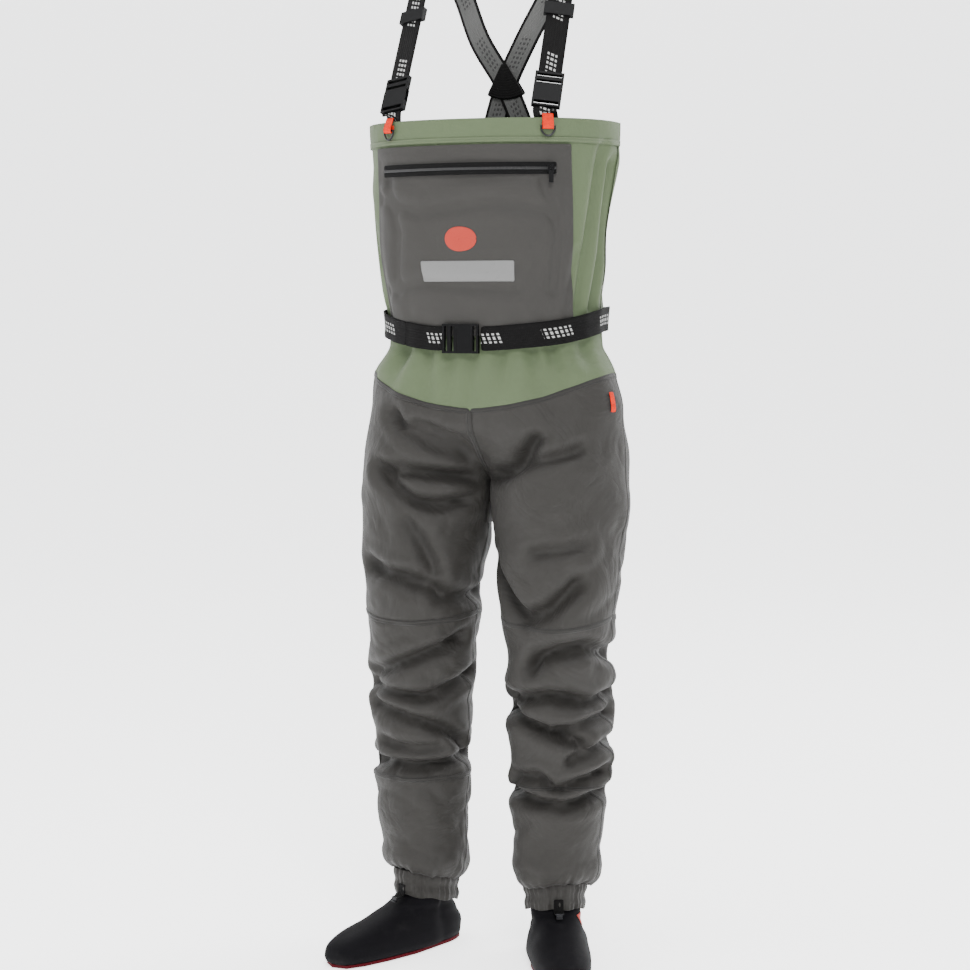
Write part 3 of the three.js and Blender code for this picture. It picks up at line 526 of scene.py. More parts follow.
def rubber(name, tint):
    # neoprene with a knitted face
    paint = Paint(name)
    knit = paint.noise(700, 2, 0.5)
    soft = paint.noise(22, 3)
    dust = paint.clamp((paint.noise(14, 4, 0.7) - 0.52) * 4)
    colour = paint.blend(soft, (tint[0] * 0.7, tint[1] * 0.7, tint[2] * 0.7, 1),
                         (tint[0] * 1.4, tint[1] * 1.4, tint[2] * 1.4, 1))
    colour = paint.blend(dust * 0.04, colour, (0.16, 0.155, 0.15, 1))
    return paint.finish(colour, 0.72 + (knit - 0.5) * 0.2, knit * 0.5 + soft * 1.4, 0.4, 0.0009,
                        Sheen_Weight=0.0, Specular_IOR_Level=0.06)


tints = {
    "sage": (0.064, 0.086, 0.044),
    "grey": (0.0255, 0.0240, 0.0220),
    "leg": (0.0150, 0.0136, 0.0118),
}
clothLook = {"thread": 0.0011, "grid": 0.0055, "creaseScale": 17, "bump": 0.42, "roughness": 0.68,
             "sheen": 0.02, "specular": 0.2, "sharp": 7}
materials = {
    "sage": fabric("sageShell", tints["sage"], clothLook),
    "grey": fabric("pocketShell", tints["grey"], dict(clothLook, creaseScale=16, bump=0.34, sharp=4)),
    "leg": fabric("legShell", tints["leg"],
                  dict(clothLook, creaseScale=15, bump=0.55, specular=0.28, sharp=11)),
    "sageSeam": stitched("sageSeam", tints["sage"],
                         {"row": 0.0022, "pitch": 0.0042, "thread": (0.085, 0.11, 0.055, 1)}),
    "greySeam": stitched("greySeam", tints["grey"],
                         {"row": 0.0022, "pitch": 0.0042, "thread": (0.02, 0.02, 0.019, 1)}),
    "legSeam": stitched("legSeam", tints["leg"],
                        {"row": 0.0022, "pitch": 0.0042, "thread": (0.007, 0.007, 0.0065, 1)}),
    "webbing": webbing("blackWebbing", {"dark": (0.0035, 0.0033, 0.0033), "edge": 0, "middle": None,
                                        "marks": 0.008, "repeat": 0.115, "filled": 0.52,
                                        "pale": (0.4, 0.4, 0.39, 1)}),
    "webbingBack": webbing("webbingBack", {"dark": (0.0035, 0.0033, 0.0033), "edge": 0.0145,
                                           "middle": (0.075, 0.075, 0.073, 1), "marks": 0.007,
                                           "repeat": 0.115, "filled": 0.55,
                                           "pale": (0.02, 0.02, 0.02, 1)}),
    "plainWebbing": webbing("plainWebbing",
                            {"dark": (0.0035, 0.0033, 0.0033), "edge": 0, "middle": None, "marks": 0}),
    "zipTape": webbing("zipTape",
                       {"dark": (0.0035, 0.0035, 0.0035), "edge": 0, "middle": None, "marks": 0}),
    "orange": webbing("orangeRibbon",
                      {"dark": (0.50, 0.018, 0.004), "edge": 0, "middle": None, "marks": 0}),
    "plastic": plastic("buckleNylon", (0.0018, 0.0018, 0.002), 0.5),
    "teeth": zipTeeth("zipTeeth"),
    "disc": printInk("orangeInk", (0.30, 0.012, 0.001), 0.7),
    "bar": printInk("paleInk", (0.115, 0.115, 0.113), 0.6),
    "steel": steel("darkSteel", (0.03, 0.03, 0.032)),
    "neoprene": rubber("neoprene", (0.003, 0.0028, 0.0036)),
    "sole": rubber("soleRubber", (0.055, 0.002, 0.005)),
}
print("materials ready")


# sheets laid over the body's surface

def newMesh(name, points, faces, corners, material, slots=None):
    # corners: the flat pattern's metres at each face's corners in turn
    mesh = bpy.data.meshes.new(name)
    mesh.from_pydata([tuple(p) for p in points], [], faces)
    layer = mesh.uv_layers.new(name="flat")
    layer.data.foreach_set("uv", np.asarray(corners, dtype=np.float32).ravel())
    for item in material if isinstance(material, list) else [material]:
        mesh.materials.append(item)
    if slots is not None:
        mesh.polygons.foreach_set("material_index", slots)
    mesh.update()
    obj = bpy.data.objects.new(name, mesh)
    scene.collection.objects.link(obj)
    for polygon in mesh.polygons:
        polygon.use_smooth = True
    return obj


def only(obj):
    bpy.ops.object.select_all(action="DESELECT")
    obj.select_set(True)
    bpy.context.view_layer.objects.active = obj


def thicken(obj, wall, offset=-1.0, levels=1):
    only(obj)
    if levels:
        modifier = obj.modifiers.new("smooth", "SUBSURF")
        modifier.levels = levels
        modifier.render_levels = levels
        modifier.uv_smooth = "PRESERVE_BOUNDARIES"
        bpy.ops.object.modifier_apply(modifier=modifier.name)
    modifier = obj.modifiers.new("thick", "SOLIDIFY")
    modifier.thickness = wall
    modifier.offset = offset
    modifier.use_even_offset = False
    modifier.material_offset = len(obj.data.materials) - 1
    bpy.ops.object.modifier_apply(modifier=modifier.name)
    return obj


def gridFaces(rows, columns, ring=False):
    faces = []
    for i in range(rows - 1):
        for j in range(columns if ring else columns - 1):
            k = (j + 1) % columns
            faces.append((i * columns + j, i * columns + k, (i + 1) * columns + k, (i + 1) * columns + j))
    return faces


def gridSheet(name, grid, material, wall, flip=False, offset=-1.0, levels=1, ring=False):
    # grid: rows of points; the flat pattern's metres come from the middle row and column
    grid = np.asarray(grid)
    rows, columns = grid.shape[:2]
    across = grid[rows // 2]
    run = np.concatenate([[0], np.cumsum(np.linalg.norm(np.diff(across, axis=0), axis=1))])
    column = grid[:, columns // 2]
    rise = np.concatenate([[0], np.cumsum(np.linalg.norm(np.diff(column, axis=0), axis=1))])
    run -= run[-1] / 2
    rise -= rise[-1] / 2
    uvs = np.stack(np.meshgrid(run, rise), -1).reshape(-1, 2)
    faces = gridFaces(rows, columns, ring)
    if flip:
        faces = [f[::-1] for f in faces]
    obj = newMesh(name, grid.reshape(-1, 3), faces, uvs[np.array(faces).ravel()], material)
    obj["flatSize"] = [float(run[-1] * 2), float(rise[-1] * 2)]
    return thicken(obj, wall, offset, levels)


# gathers hang from the belt and stand above it; each has a place round the body, a reach and a depth
rng = np.random.default_rng(7)


def makeGathers(count, reachLow, reachHigh, deepLow, deepHigh, drift):
    step = 360 / count
    angles = (np.arange(count) + rng.uniform(-0.32, 0.32, count)) * step
    return [(a, rng.uniform(reachLow, reachHigh), rng.uniform(deepLow, deepHigh),
             rng.uniform(-drift, drift))
            for a in angles]


gathersBelow = makeGathers(19, 0.13, 0.24, 0.012, 0.024, 11)
gathersAbove = makeGathers(21, 0.07, 0.22, 0.004, 0.010, 5)


def gatherLift(gathers, degrees, away):
    total = np.zeros(degrees.shape)
    for angle, reach, deep, drift in gathers:
        along = np.clip(away / reach, 0, 1)
        centre = angle + drift * along
        d = (degrees - centre + 180) % 360 - 180
        width = 2.8 + 2.0 * along
        total += -deep * (1 - along) ** 1.3 * np.exp(-(d / width) ** 2 / 2)
    return total * (0.3 + 0.7 * smoothStep(away, 0, 0.035)) + 0.0022 * np.exp(-away / 0.09)


bibFolds = [  # long soft folds, as (degrees round the body, height)
    (0.008, 0.013, [(60, 1.075), (66, 1.185), (74, 1.335)]),
    (0.010, 0.014, [(76, 1.075), (82, 1.165), (84, 1.305)]),
    (0.006, 0.012, [(50, 1.045), (52, 1.105), (58, 1.165)]),
    (0.007, 0.016, [(96, 1.085), (94, 1.195), (99, 1.325)]),
    (0.006, 0.014, [(-66, 1.065), (-62, 1.145), (-70, 1.245)]),
    (0.006, 0.016, [(-84, 1.075), (-88, 1.185), (-86, 1.315)]),
    (0.007, 0.018, [(150, 1.075), (156, 1.195), (150, 1.315)]),
    (0.007, 0.018, [(205, 1.075), (199, 1.175), (206, 1.285)]),
    (0.005, 0.016, [(178, 1.075), (181, 1.185)]),
]
pocketFolds = [
    (0.0035, 0.012, [(-50, 1.255), (-20, 1.230), (10, 1.245), (40, 1.230)]),
    (0.003, 0.012, [(-48, 1.105), (-20, 1.120), (20, 1.107)]),
    (0.0035, 0.010, [(35, 1.275), (44, 1.195), (42, 1.105)]),
    (0.003, 0.012, [(-40, 1.285), (-34, 1.195), (-40, 1.105)]),
]


def swell(points, size, scale, seed):
    # slow unevenness, the same at every run
    out = np.zeros(points.shape[0])
    phases = np.random.default_rng(seed).uniform(0, 2 * math.pi, (9, 4))
    for index, (a, b, c, d) in enumerate(phases):
        pitch = scale * (0.6 + index * 0.16)
        direction = np.array([math.sin(a), math.cos(a) * math.sin(b), math.cos(a) * math.cos(b)])
        out += np.sin(points @ direction / pitch * 2 * math.pi + c) * math.cos(d)
    return out * size / 3


def crumple(points, size, pitch, seed):
    # thin crease lines where a slow noise crosses zero
    shift = Vector((seed, seed * 2.3, seed * 0.7))
    field = np.array([noise.noise(Vector(p * np.array(pitch)) + shift) for p in points])
    strength = np.array([noise.noise(Vector(p * 7) - shift) for p in points])
    return size * (0.35 - np.exp(-(field / 0.11) ** 2)) * np.clip(0.5 + strength * 1.6, 0, 1)


def nearZip(degrees, height):
    return (1 - smoothStep(np.abs(height - 1.296), 0.013, 0.03)) * (1 - smoothStep(np.abs(degrees), 46, 52))


def bibPoint(degrees, height, offset):
    degrees = np.asarray(degrees, float)
    height = np.asarray(height, float)
    angle = np.radians(degrees)
    plan = bodyPlan(angle, height)
    nearby = bodyPlan(angle + 0.01, height) - bodyPlan(angle - 0.01, height)
    nearby /= np.linalg.norm(nearby, axis=-1)[..., None]
    outward = np.stack([nearby[..., 1], -nearby[..., 0]], -1)
    wrapped = (degrees + 180) % 360 - 180
    lift = foldDepth(bibFolds, wrapped, height, 0.19)
    calm = smoothStep(np.abs(wrapped), 46, 60)
    lift = lift * calm + gatherLift(gathersAbove, wrapped,
                                    np.maximum(height - beltLine(angle), 0)) * (0.35 + 0.65 * calm)
    flat = np.stack([plan[..., 0], plan[..., 1], height], -1).reshape(-1, 3)
    lift = lift + swell(flat, 0.003, 0.16, 3).reshape(lift.shape)
    middle = np.sin(math.pi * np.clip((height - 1.06) / 0.25, 0, 1))
    full = 0.010 * np.exp(-((wrapped + 76) / 26) ** 2)  # fuller on the right, drawn in on the left
    slack = 0.013 * np.exp(-((wrapped - 110) / 24) ** 2)
    lift = lift + middle * (full - slack)
    lift = lift * smoothStep(cut["bibTop"] - height, 0.0, 0.07)
    held = smoothStep(np.abs(height - beltLine(angle)), 0.004, 0.035)
    lift = lift * (1 - nearZip(wrapped, height))
    plan = plan + outward * (offset + np.clip(lift * (0.35 + 0.65 * held), -0.012, 0.007))[..., None]
    return np.stack([plan[..., 0], plan[..., 1] + shiftY, height], -1)


def bodySheet(name, fromDegrees, toDegrees, low, high, columns, rows, offset, material, wall, lift=None,
              narrow=0):
    u, v = np.meshgrid(np.linspace(0, 1, columns), np.linspace(0, 1, rows))
    degrees = (fromDegrees + (toDegrees - fromDegrees) * u) * (1 - narrow * v)
    angle = np.radians(degrees)
    height = low(angle) + (high(angle) - low(angle)) * v
    extra = lift(degrees, height, u, v) if lift else 0
    grid = bibPoint(degrees, height, offset + extra)
    return gridSheet(name, grid, material, wall)


def declare(obj, nodes=()):
    if nodes:
        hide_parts(*nodes)
    return obj


bibPieces = {
    "columns": 96,
    "rows": 72,
    "wall": 0.0011,
    "hemWall": 0.0016,
    "pocketAngle": 57,
    "pocketTop": 1.334,
}
bibs = {}
for faceName, low, high in (("front", -90, 90), ("back", 90, 270)):
    bib = bodySheet(f"bib_{faceName}_cloth", low, high, lambda a: beltLine(a) + 0.001,
                    lambda a: cut["bibTop"] + a * 0 - 0.004,
                    bibPieces["columns"], bibPieces["rows"], 0, materials["sage"], bibPieces["wall"])
    bibs[faceName] = declare(bib, [f"bib_{faceName}"])
    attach(bib, "garment")
    band = bodySheet(f"bib_hem_{faceName}_band", low, high, lambda a: cut["bibTop"] - cut["hem"] + a * 0,
                     lambda a: cut["bibTop"] + a * 0 - 0.0002, bibPieces["columns"], 10, 0.0017,
                     materials["sage"],
                     bibPieces["hemWall"], lambda d, h, u, v: 0.0008 * np.sin(v * math.pi))
    declare(band, [f"bib_hem_{faceName}"])
    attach(band, "garment")


def pocketLift(degrees, height, u, v):
    edge = np.minimum(np.minimum(u, 1 - u) * 0.36, (1 - v) * 0.3)
    puff = 0.0035 * smoothStep(edge, 0.0, 0.03) * (1 - 0.9 * nearZip(degrees, height))
    return puff + np.clip(foldDepth(pocketFolds, degrees, height, 0.2), -0.003,
                          0.0015) * smoothStep(edge, 0, 0.02)


pocket = bodySheet("chest_pocket_panel", -bibPieces["pocketAngle"], bibPieces["pocketAngle"],
                   lambda a: beltLine(a) + 0.004, lambda a: bibPieces["pocketTop"] + a * 0,
                   110, 84, 0.0035, materials["grey"], 0.0012, pocketLift, 0.13)
declare(pocket, ["chest_pocket"])
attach(pocket, "garment")
print("bib ready")


def seamStrip(name, centre, sideA, sideB, normal, width, material, lift=0.0009):
    # a narrow taped seam that follows rows of the cloth beside it
    def reach(side):
        step = side - centre
        length = np.linalg.norm(step, axis=1)[:, None]
        return centre + step / np.maximum(length, 1e-6) * np.minimum(length, width / 2)
    grid = np.stack([reach(sideA) + normal * lift * 0.4, centre + normal * lift,
                     reach(sideB) + normal * lift * 0.4], 0)
    strip = gridSheet(name, grid, material, 0.0006, levels=1)
    across = np.cross(grid[2] - grid[0], np.roll(centre, -1, 0) - centre)
    if np.einsum("ij,ij->i", across[:-1], normal[:-1]).mean() > 0:
        strip.data.flip_normals()
    declare(strip, ())
    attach(strip, "garment")
    return strip


# trousers: waist and legs as one cloth, folded along their creases and then let settle

trousers = {
    "columns": 42,
    "waistRows": 14,
    "thighRows": 40,
    "shinRows": 34,
    "guardRows": 22,
    "frames": 34,
    "longer": 1.05,
    "rounder": 1.01,
    "hold": 0.36,
    "bending": 0.8,
    "reach": 0.02,
    "wall": 0.0011,
}
ankle = {"x": 0.117, "y": -0.034, "toeOut": math.radians(24), "tilt": 0.2, "halfWidth": 0.049,
         "halfLength": 0.057, "setBack": 0.004}


def cuffAhead(x, y, side):
    outward = (x - side * ankle["x"]) * side
    return outward * math.sin(ankle["toeOut"]) - (y - ankle["y"]) * math.cos(ankle["toeOut"])


def quarterGrid(side, face, t):
    share = np.linspace(0, 1, t["columns"])
    angle = np.radians(90 - 90 * share) if face < 0 else np.radians(90 + 90 * share)
    rows = []
    bands = [(beltLine(angle) + 0.001, waistSeam(angle), t["waistRows"]),
             (waistSeam(angle), kneeLine(share), t["thighRows"]),
             (kneeLine(share), cut["guardTop"] + share * 0, t["shinRows"]),
             (cut["guardTop"] + share * 0, cut["guardBottom"] + share * 0, t["guardRows"])]
    for index, (top, bottom, count) in enumerate(bands):
        for i in range(0 if index == 0 else 1, count + 1):
            rows.append(top + (bottom - top) * i / count)
    grid = []
    for height in rows:
        plan = legPlan(share, face, height)
        x, y = np.maximum(plan[:, 0], 0) * side, plan[:, 1]
        x[-1] = 0 if height[-1] > cut["crotch"] - 0.004 else x[-1]
        low = 1 - smoothStep(height, 0.12, 0.2)
        z = height + ankle["tilt"] * cuffAhead(x, y, side) * low
        # the guard swells over its cuff and then tucks in under the gathers
        centreX, centreY = side * ankle["x"], ankle["y"]
        tuckIn = 0.12 * np.clip((0.128 - height) / 0.01, 0, 1)
        swellOut = 1 + 0.07 * np.exp(-((height - 0.15) / 0.022) ** 2) - tuckIn
        x = centreX + (x - centreX) * np.where(height < 0.25, swellOut, 1)
        y = centreY + (y - centreY) * np.where(height < 0.25, swellOut, 1)
        grid.append(np.stack([x, y, z], -1))
    return np.array(grid)


def kneeLine(share):
    return cut["kneeSeam"] - 0.012 * np.sin(share * math.pi)


def faceNormals(points, faces):
    quads = points[np.asarray(faces)]
    crossed = np.cross(quads[:, 2] - quads[:, 0], quads[:, 3] - quads[:, 1])
    total = np.zeros(points.shape)
    for corner in range(4):
        np.add.at(total, np.asarray(faces)[:, corner], crossed)
    return total / np.maximum(np.linalg.norm(total, axis=1)[:, None], 1e-12)


def buildTrousers(t):
    keys, points, faces, slots, uvs, ids = {}, [], [], [], [], {}
    names = ["waist_front", "waist_back"]
    for sideName in ("left", "right"):
        names += [f"thigh_front_{sideName}", f"thigh_back_{sideName}", f"shin_front_{sideName}",
                  f"shin_back_{sideName}",
                  f"gravel_guard_{sideName}"]
    for sideName, side in (("left", 1), ("right", -1)):
        for faceName, face in (("front", -1), ("back", 1)):
            grid = quarterGrid(side, face, t)
            rows, columns = grid.shape[:2]
            index = np.zeros((rows, columns), int)
            for i in range(rows):
                for j in range(columns):
                    key = tuple(np.round(grid[i, j] * 2500).astype(int))
                    if key not in keys:
                        keys[key] = len(points)
                        points.append(grid[i, j])
                    index[i, j] = keys[key]
            ids[(side, face)] = index
            marks = np.cumsum([0, t["waistRows"], t["thighRows"], t["shinRows"], t["guardRows"]])
            run = np.cumsum(np.concatenate([[0], np.linalg.norm(np.diff(grid[rows // 2], axis=0), axis=1)]))
            for i in range(rows - 1):
                band = int(np.searchsorted(marks, i, "right")) - 1
                name = [f"waist_{faceName}", f"thigh_{faceName}_{sideName}", f"shin_{faceName}_{sideName}",
                        f"gravel_guard_{sideName}"][band]
                for j in range(columns - 1):
                    corners = [(i, j), (i, j + 1), (i + 1, j + 1), (i + 1, j)]
                    if side * face > 0:
                        corners = corners[::-1]
                    quad = [index[c] for c in corners]
                    if len(set(quad)) < 4:
                        continue
                    faces.append(quad)
                    slots.append(names.index(name))
                    uvs += [(run[c[1]] * side * face + 3 * side + face, grid[c[0], c[1], 2])
                            for c in corners]
    return np.array(points), faces, slots, uvs, ids, names


points, faces, slots, uvs, ids, panelNames = buildTrousers(trousers)
legHeight = points[:, 2]
centreX, centreY = readStations(legStations, legHeight)[:2]
normals = faceNormals(points, faces)
roundBody = np.degrees(np.arctan2(points[:, 0], -points[:, 1]))
lift = np.zeros(len(points))
for sideName, side in (("left", 1), ("right", -1)):
    degrees = np.degrees(np.arctan2(points[:, 0] - side * centreX, -(points[:, 1] - centreY)))
    mine = np.where(points[:, 0] * side >= 0, 1.0, 0.0)
    inner = smoothStep(np.abs(points[:, 0]), 0.0, 0.03)
    share = mine * np.where(legHeight > 0.7, inner, 1)
    lift += foldDepth(legFolds[sideName], degrees, legHeight, 0.1) * share
waistAway = np.maximum(beltLine(np.radians(roundBody)) - legHeight, 0)
lift = lift * smoothStep(waistAway, 0.06, 0.13)
lift += swell(points, 0.004, 0.11, 11) * smoothStep(waistAway, 0.01, 0.08)
lift += crumple(points, 0.0042, (13, 13, 24), 5) * smoothStep(waistAway, 0.10, 0.2)
lift += crumple(points, 0.0026, (26, 26, 40), 9) * smoothStep(waistAway, 0.10, 0.2)

for side in (1, -1):
    degrees = np.degrees(np.arctan2(points[:, 0] - side * ankle["x"], -(points[:, 1] - ankle["y"])))
    mine = points[:, 0] * side > 0
    pleat = sum(np.sin(np.radians(degrees) * n + p) * a
                for n, p, a in ((23, 0.4, 0.5), (31, 2.1, 0.4), (13, 1.2, 0.5)))
    reach = np.exp(-((legHeight - 0.122) / 0.026) ** 2)
    lift += np.where(mine, pleat * 0.0022 * reach, 0)
# gathers and the sharp bottoms of the folds, pressed in once the cloth has settled
crisp = np.zeros(points.shape[0])
for sideName, side in (("left", 1), ("right", -1)):
    degrees = np.degrees(np.arctan2(points[:, 0] - side * centreX, -(points[:, 1] - centreY)))
    mine = np.where(points[:, 0] * side >= 0, 1.0, 0.0)
    inner = smoothStep(np.abs(points[:, 0]), 0.0, 0.03)
    share = mine * np.where(legHeight > 0.7, inner, 1)
    crisp += foldDepth(legFolds[sideName], degrees, legHeight, 0.1, 0.55, 1.0) * share
crisp = np.clip(crisp * 0.42, -0.008, 0.003) * smoothStep(waistAway, 0.06, 0.13)
crisp += gatherLift(gathersBelow, roundBody, waistAway)
start = points + normals * np.clip(lift, -0.026, 0.014)[:, None]
start[:, 0] = np.where((points[:, 0] * start[:, 0] < 0), 0, start[:, 0])
start[:, 1] += shiftY
print("trousers laid out", len(points))


quads = [tuple(int(i) for i in f) for f in faces]
panelLooks = [materials["sage" if name.startswith("waist") else "leg"] for name in panelNames]
cloth = newMesh("trousers", start, quads, uvs, panelLooks, slots)


def settle(obj, coordinates, t):
    # cloth a little too long for its place, so that it buckles into crisp folds while soft springs hold it
    only(obj)
    z = coordinates[:, 2]
    held = np.full(len(z), t["hold"])
    held = held + (0.93 - held) * smoothStep(z, 0.88, 0.95)
    roundHere = np.arctan2(coordinates[:, 0], -(coordinates[:, 1] - shiftY))
    held = np.where(z > beltLine(roundHere) - 0.012, 1.0, held)
    held = np.where(z < 0.128 + ankle["tilt"] * 0.06, np.maximum(held, 0.8), held)
    held = np.where(np.isin(np.arange(len(z)), ids[(1, 1)][-1].tolist() + ids[(1, -1)][-1].tolist()
                            + ids[(-1, 1)][-1].tolist() + ids[(-1, -1)][-1].tolist()), 1.0, held)
    group = obj.vertex_groups.new(name="held")
    for value in np.unique(np.round(held, 3)):
        group.add(np.nonzero(np.abs(held - value) < 0.0006)[0].tolist(), float(value), "REPLACE")
    obj.shape_key_add(name="Basis")
    pattern = obj.shape_key_add(name="pattern")
    knots = np.array([0.0, 0.30, 0.62, 0.80, 1.1])
    slopes = np.array([t["longer"], t["longer"] + 0.03, t["longer"] - 0.01, 1.01])
    mapped = np.concatenate([[0], np.cumsum(np.diff(knots) * slopes)])
    longer = coordinates.copy()
    longer[:, 2] = np.interp(z, knots, mapped)
    longer[:, :2] *= t["rounder"]
    pattern.data.foreach_set("co", longer.ravel())
    pattern.value = 0
    cloth = obj.modifiers.new("settle", "CLOTH")
    settings = cloth.settings
    settings.quality = 6
    settings.mass = 0.12
    settings.tension_stiffness = 22
    settings.compression_stiffness = 22
    settings.shear_stiffness = 8
    settings.bending_stiffness = t["bending"]
    settings.tension_damping = 8
    settings.compression_damping = 8
    settings.bending_damping = 0.5
    settings.air_damping = 4
    settings.rest_shape_key = pattern
    settings.vertex_group_mass = "held"
    settings.pin_stiffness = 0.12
    settings.effector_weights.gravity = 0.25
    cloth.collision_settings.use_collision = False
    cloth.collision_settings.use_self_collision = False
    cloth.point_cache.frame_start = 1
    cloth.point_cache.frame_end = t["frames"]
    for frameNumber in range(1, t["frames"] + 1):
        scene.frame_set(frameNumber)
    settled = obj.evaluated_get(bpy.context.evaluated_depsgraph_get())
    result = np.empty(len(z) * 3, dtype=np.float32)
    settled.data.vertices.foreach_get("co", result)
    result = result.reshape(-1, 3).astype(float)
    moved = result - coordinates
    length = np.linalg.norm(moved, axis=1)[:, None]
    result = coordinates + moved * np.minimum(1, t["reach"] / np.maximum(length, 1e-9))
    print("settled, mean move", round(float(length.mean()), 4), "most", round(float(length.max()), 4))
    bpy.data.objects.remove(obj)
    scene.frame_set(1)
    return result


start = settle(cloth, start, trousers)
clothNormals = faceNormals(start, faces)
start = start + clothNormals * crisp[:, None]
clothNormals = faceNormals(start, faces)


def panelOf(name, material):
    # one cut panel of the settled cloth
    chosen = [k for k, s in enumerate(slots) if panelNames[s] == name]
    used = sorted({i for k in chosen for i in faces[k]})
    at = {old: new for new, old in enumerate(used)}
    corners = [uvs[4 * k + c] for k in chosen for c in range(4)]
    obj = newMesh(f"{name}_cloth", start[used], [tuple(at[i] for i in faces[k]) for k in chosen],
                  corners, material)
    return thicken(obj, trousers["wall"])


panelFlats = {  # flat width, length and area of each cut panel, metres
    "waist": (0.52, 0.14, 0.055),
    "thigh": (0.37, 0.40, 0.112),
    "shin": (0.30, 0.30, 0.085),
    "gravel_guard": (0.50, 0.20, 0.095),
}
panels = {}
for name in panelNames:
    kind = next(k for k in panelFlats if name.startswith(k))
    panel = panelOf(name, materials["sage" if kind == "waist" else "leg"])
    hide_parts(name)
    "sage_cloth" if kind == "waist" else "leg_cloth"
    panels[name] = panel
    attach(panel, "garment")


# webbing: belt and braces

def ringPoint(degrees, height, offset):
    # a point on the garment's plain shape, standing off by offset
    angle = np.radians(np.asarray(degrees, float))
    height = np.asarray(height, float)
    plan = bodyPlan(angle, height)
    nearby = bodyPlan(angle + 0.01, height) - bodyPlan(angle - 0.01, height)
    nearby /= np.linalg.norm(nearby, axis=-1)[..., None]
    plan = plan + np.stack([nearby[..., 1], -nearby[..., 0]], -1) * np.asarray(offset)[..., None]
    return np.stack([plan[..., 0], plan[..., 1] + shiftY, height], -1)


def between(t, h, ends, slopes):
    # smooth curve from one end, t = 0, to the other, t = 1, a step h apart
    return ((2 * t ** 3 - 3 * t ** 2 + 1) * ends[0] + (t ** 3 - 2 * t ** 2 + t) * h * slopes[0]
            + (3 * t ** 2 - 2 * t ** 3) * ends[1] + (t ** 3 - t ** 2) * h * slopes[1])


def strapGrid(stations, width, columns, steps):
    # stations: (point, outward normal); evenly stepped and faired between them
    points = np.array([s[0] for s in stations], float)
    faces = np.array([s[1] for s in stations], float)
    faces /= np.linalg.norm(faces, axis=1)[:, None]
    knots = np.concatenate([[0], np.cumsum(np.sqrt(np.linalg.norm(np.diff(points, axis=0), axis=1)))])
    spots = np.linspace(0, knots[-1], steps)
    if len(points) > 2:
        tangents = np.gradient(points, knots, axis=0)
        found = []
        for spot in spots:
            i = min(int(np.searchsorted(knots, spot, "right")) - 1, len(points) - 2)
            h = knots[i + 1] - knots[i]
            t = (spot - knots[i]) / h
            found.append(between(t, h, points[i:i + 2], tangents[i:i + 2]))
        line = np.array(found)
    else:
        line = np.stack([np.interp(spots, knots, points[:, k]) for k in range(3)], -1)
    normal = np.stack([np.interp(spots, knots, faces[:, k]) for k in range(3)], -1)
    along = np.gradient(line, axis=0)
    along /= np.linalg.norm(along, axis=1)[:, None]
    across = np.cross(along, normal)
    across /= np.linalg.norm(across, axis=1)[:, None]
    face = np.cross(across, along)
    spread = np.linspace(-0.5, 0.5, columns) * width
    return line[None, :, :] + across[None, :, :] * spread[:, None, None], face


def strap(name, stations, width, wall, looks, node, steps, wobble=0.0, body="garment"):
    columns = 5
    grid, face = strapGrid(stations, width, columns, steps)
    if wobble:
        steady = np.sin(np.linspace(0, math.pi, steps)) ** 0.5
        wave = np.sin(np.linspace(0, 7.3, steps) + len(name)) * wobble * steady
        grid = grid + face[None, :, :] * wave[None, :, None]
    grid = grid + face[None, :, :] * wall / 2
    obj = gridSheet(name, grid, [materials[k] for k in looks], wall, flip=True)
    declare(obj, [node])
    if body:
        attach(obj, body)
    return obj


beltLooks = {"width": 0.039, "wall": 0.0022, "offset": 0.0082, "angle": -1.0}


def beltRing(name, fromDegrees, toDegrees, node, columns):
    u, v = np.meshgrid(np.linspace(0, 1, columns), np.linspace(-0.5, 0.5, 5))
    degrees = fromDegrees + (toDegrees - fromDegrees) * u
    ring = np.radians(degrees)
    bulge = 0.0007 * np.sin(np.radians(degrees * 11)) + 0.0006 * np.sin(np.radians(degrees * 23 + 40))
    tuck = np.minimum(1, np.minimum(u, 1 - u) * 12)
    line = beltLine(ring) + v * beltLooks["width"] + 0.0012 * np.sin(np.radians(degrees * 5)) * tuck
    grid = ringPoint(degrees, line, beltLooks["offset"] + 0.0012 + bulge * tuck)
    obj = gridSheet(name, grid, [materials["webbing"], materials["plainWebbing"]], beltLooks["wall"])
    declare(obj, [node])
    return obj


beltHalf = readStations(bodyStations, cut["beltFront"])[0]
beltStart = math.degrees(math.asin(0.0175 / beltHalf))
plugAngle = math.degrees(math.asin(0.0335 / beltHalf))
strapMain = beltRing("belt_strap", beltLooks["angle"] + beltStart,
                     360 + beltLooks["angle"] - plugAngle - 24, "belt_webbing", 170)
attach(strapMain, "garment")
strapEnd = beltRing("belt_strap_end", beltLooks["angle"] - plugAngle - 24 + 0.05,
                    beltLooks["angle"] - plugAngle, "belt_end", 26)
endFrom = ringPoint(beltLooks["angle"] - plugAngle - 24, cut["beltFront"], 0.009)
endTo = ringPoint(beltLooks["angle"] - plugAngle, cut["beltFront"], 0.009)
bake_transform(strapEnd)

loop = []
for v in np.linspace(-1, 1, 15):
    away = np.linspace(176.5, 183.5, 4)
    height = beltLine(np.radians(away)) + v * 0.0265
    loop.append(ringPoint(away, height, 0.0005 + 0.0125 * np.clip((1 - abs(v)) * 5, 0, 1) ** 0.7))
beltLoop = gridSheet("belt_loop_strap", np.array(loop), materials["sageSeam"], 0.0014)
declare(beltLoop, ["belt_loop"])
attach(beltLoop, "garment")

brace = {"x": 0.133, "yaw": 17, "width": 0.038, "wall": 0.0018, "lean": (-4, 82, 163), "base": 0.022,
         "straight": 0.180, "slope": 0.18, "rise": 0.072}


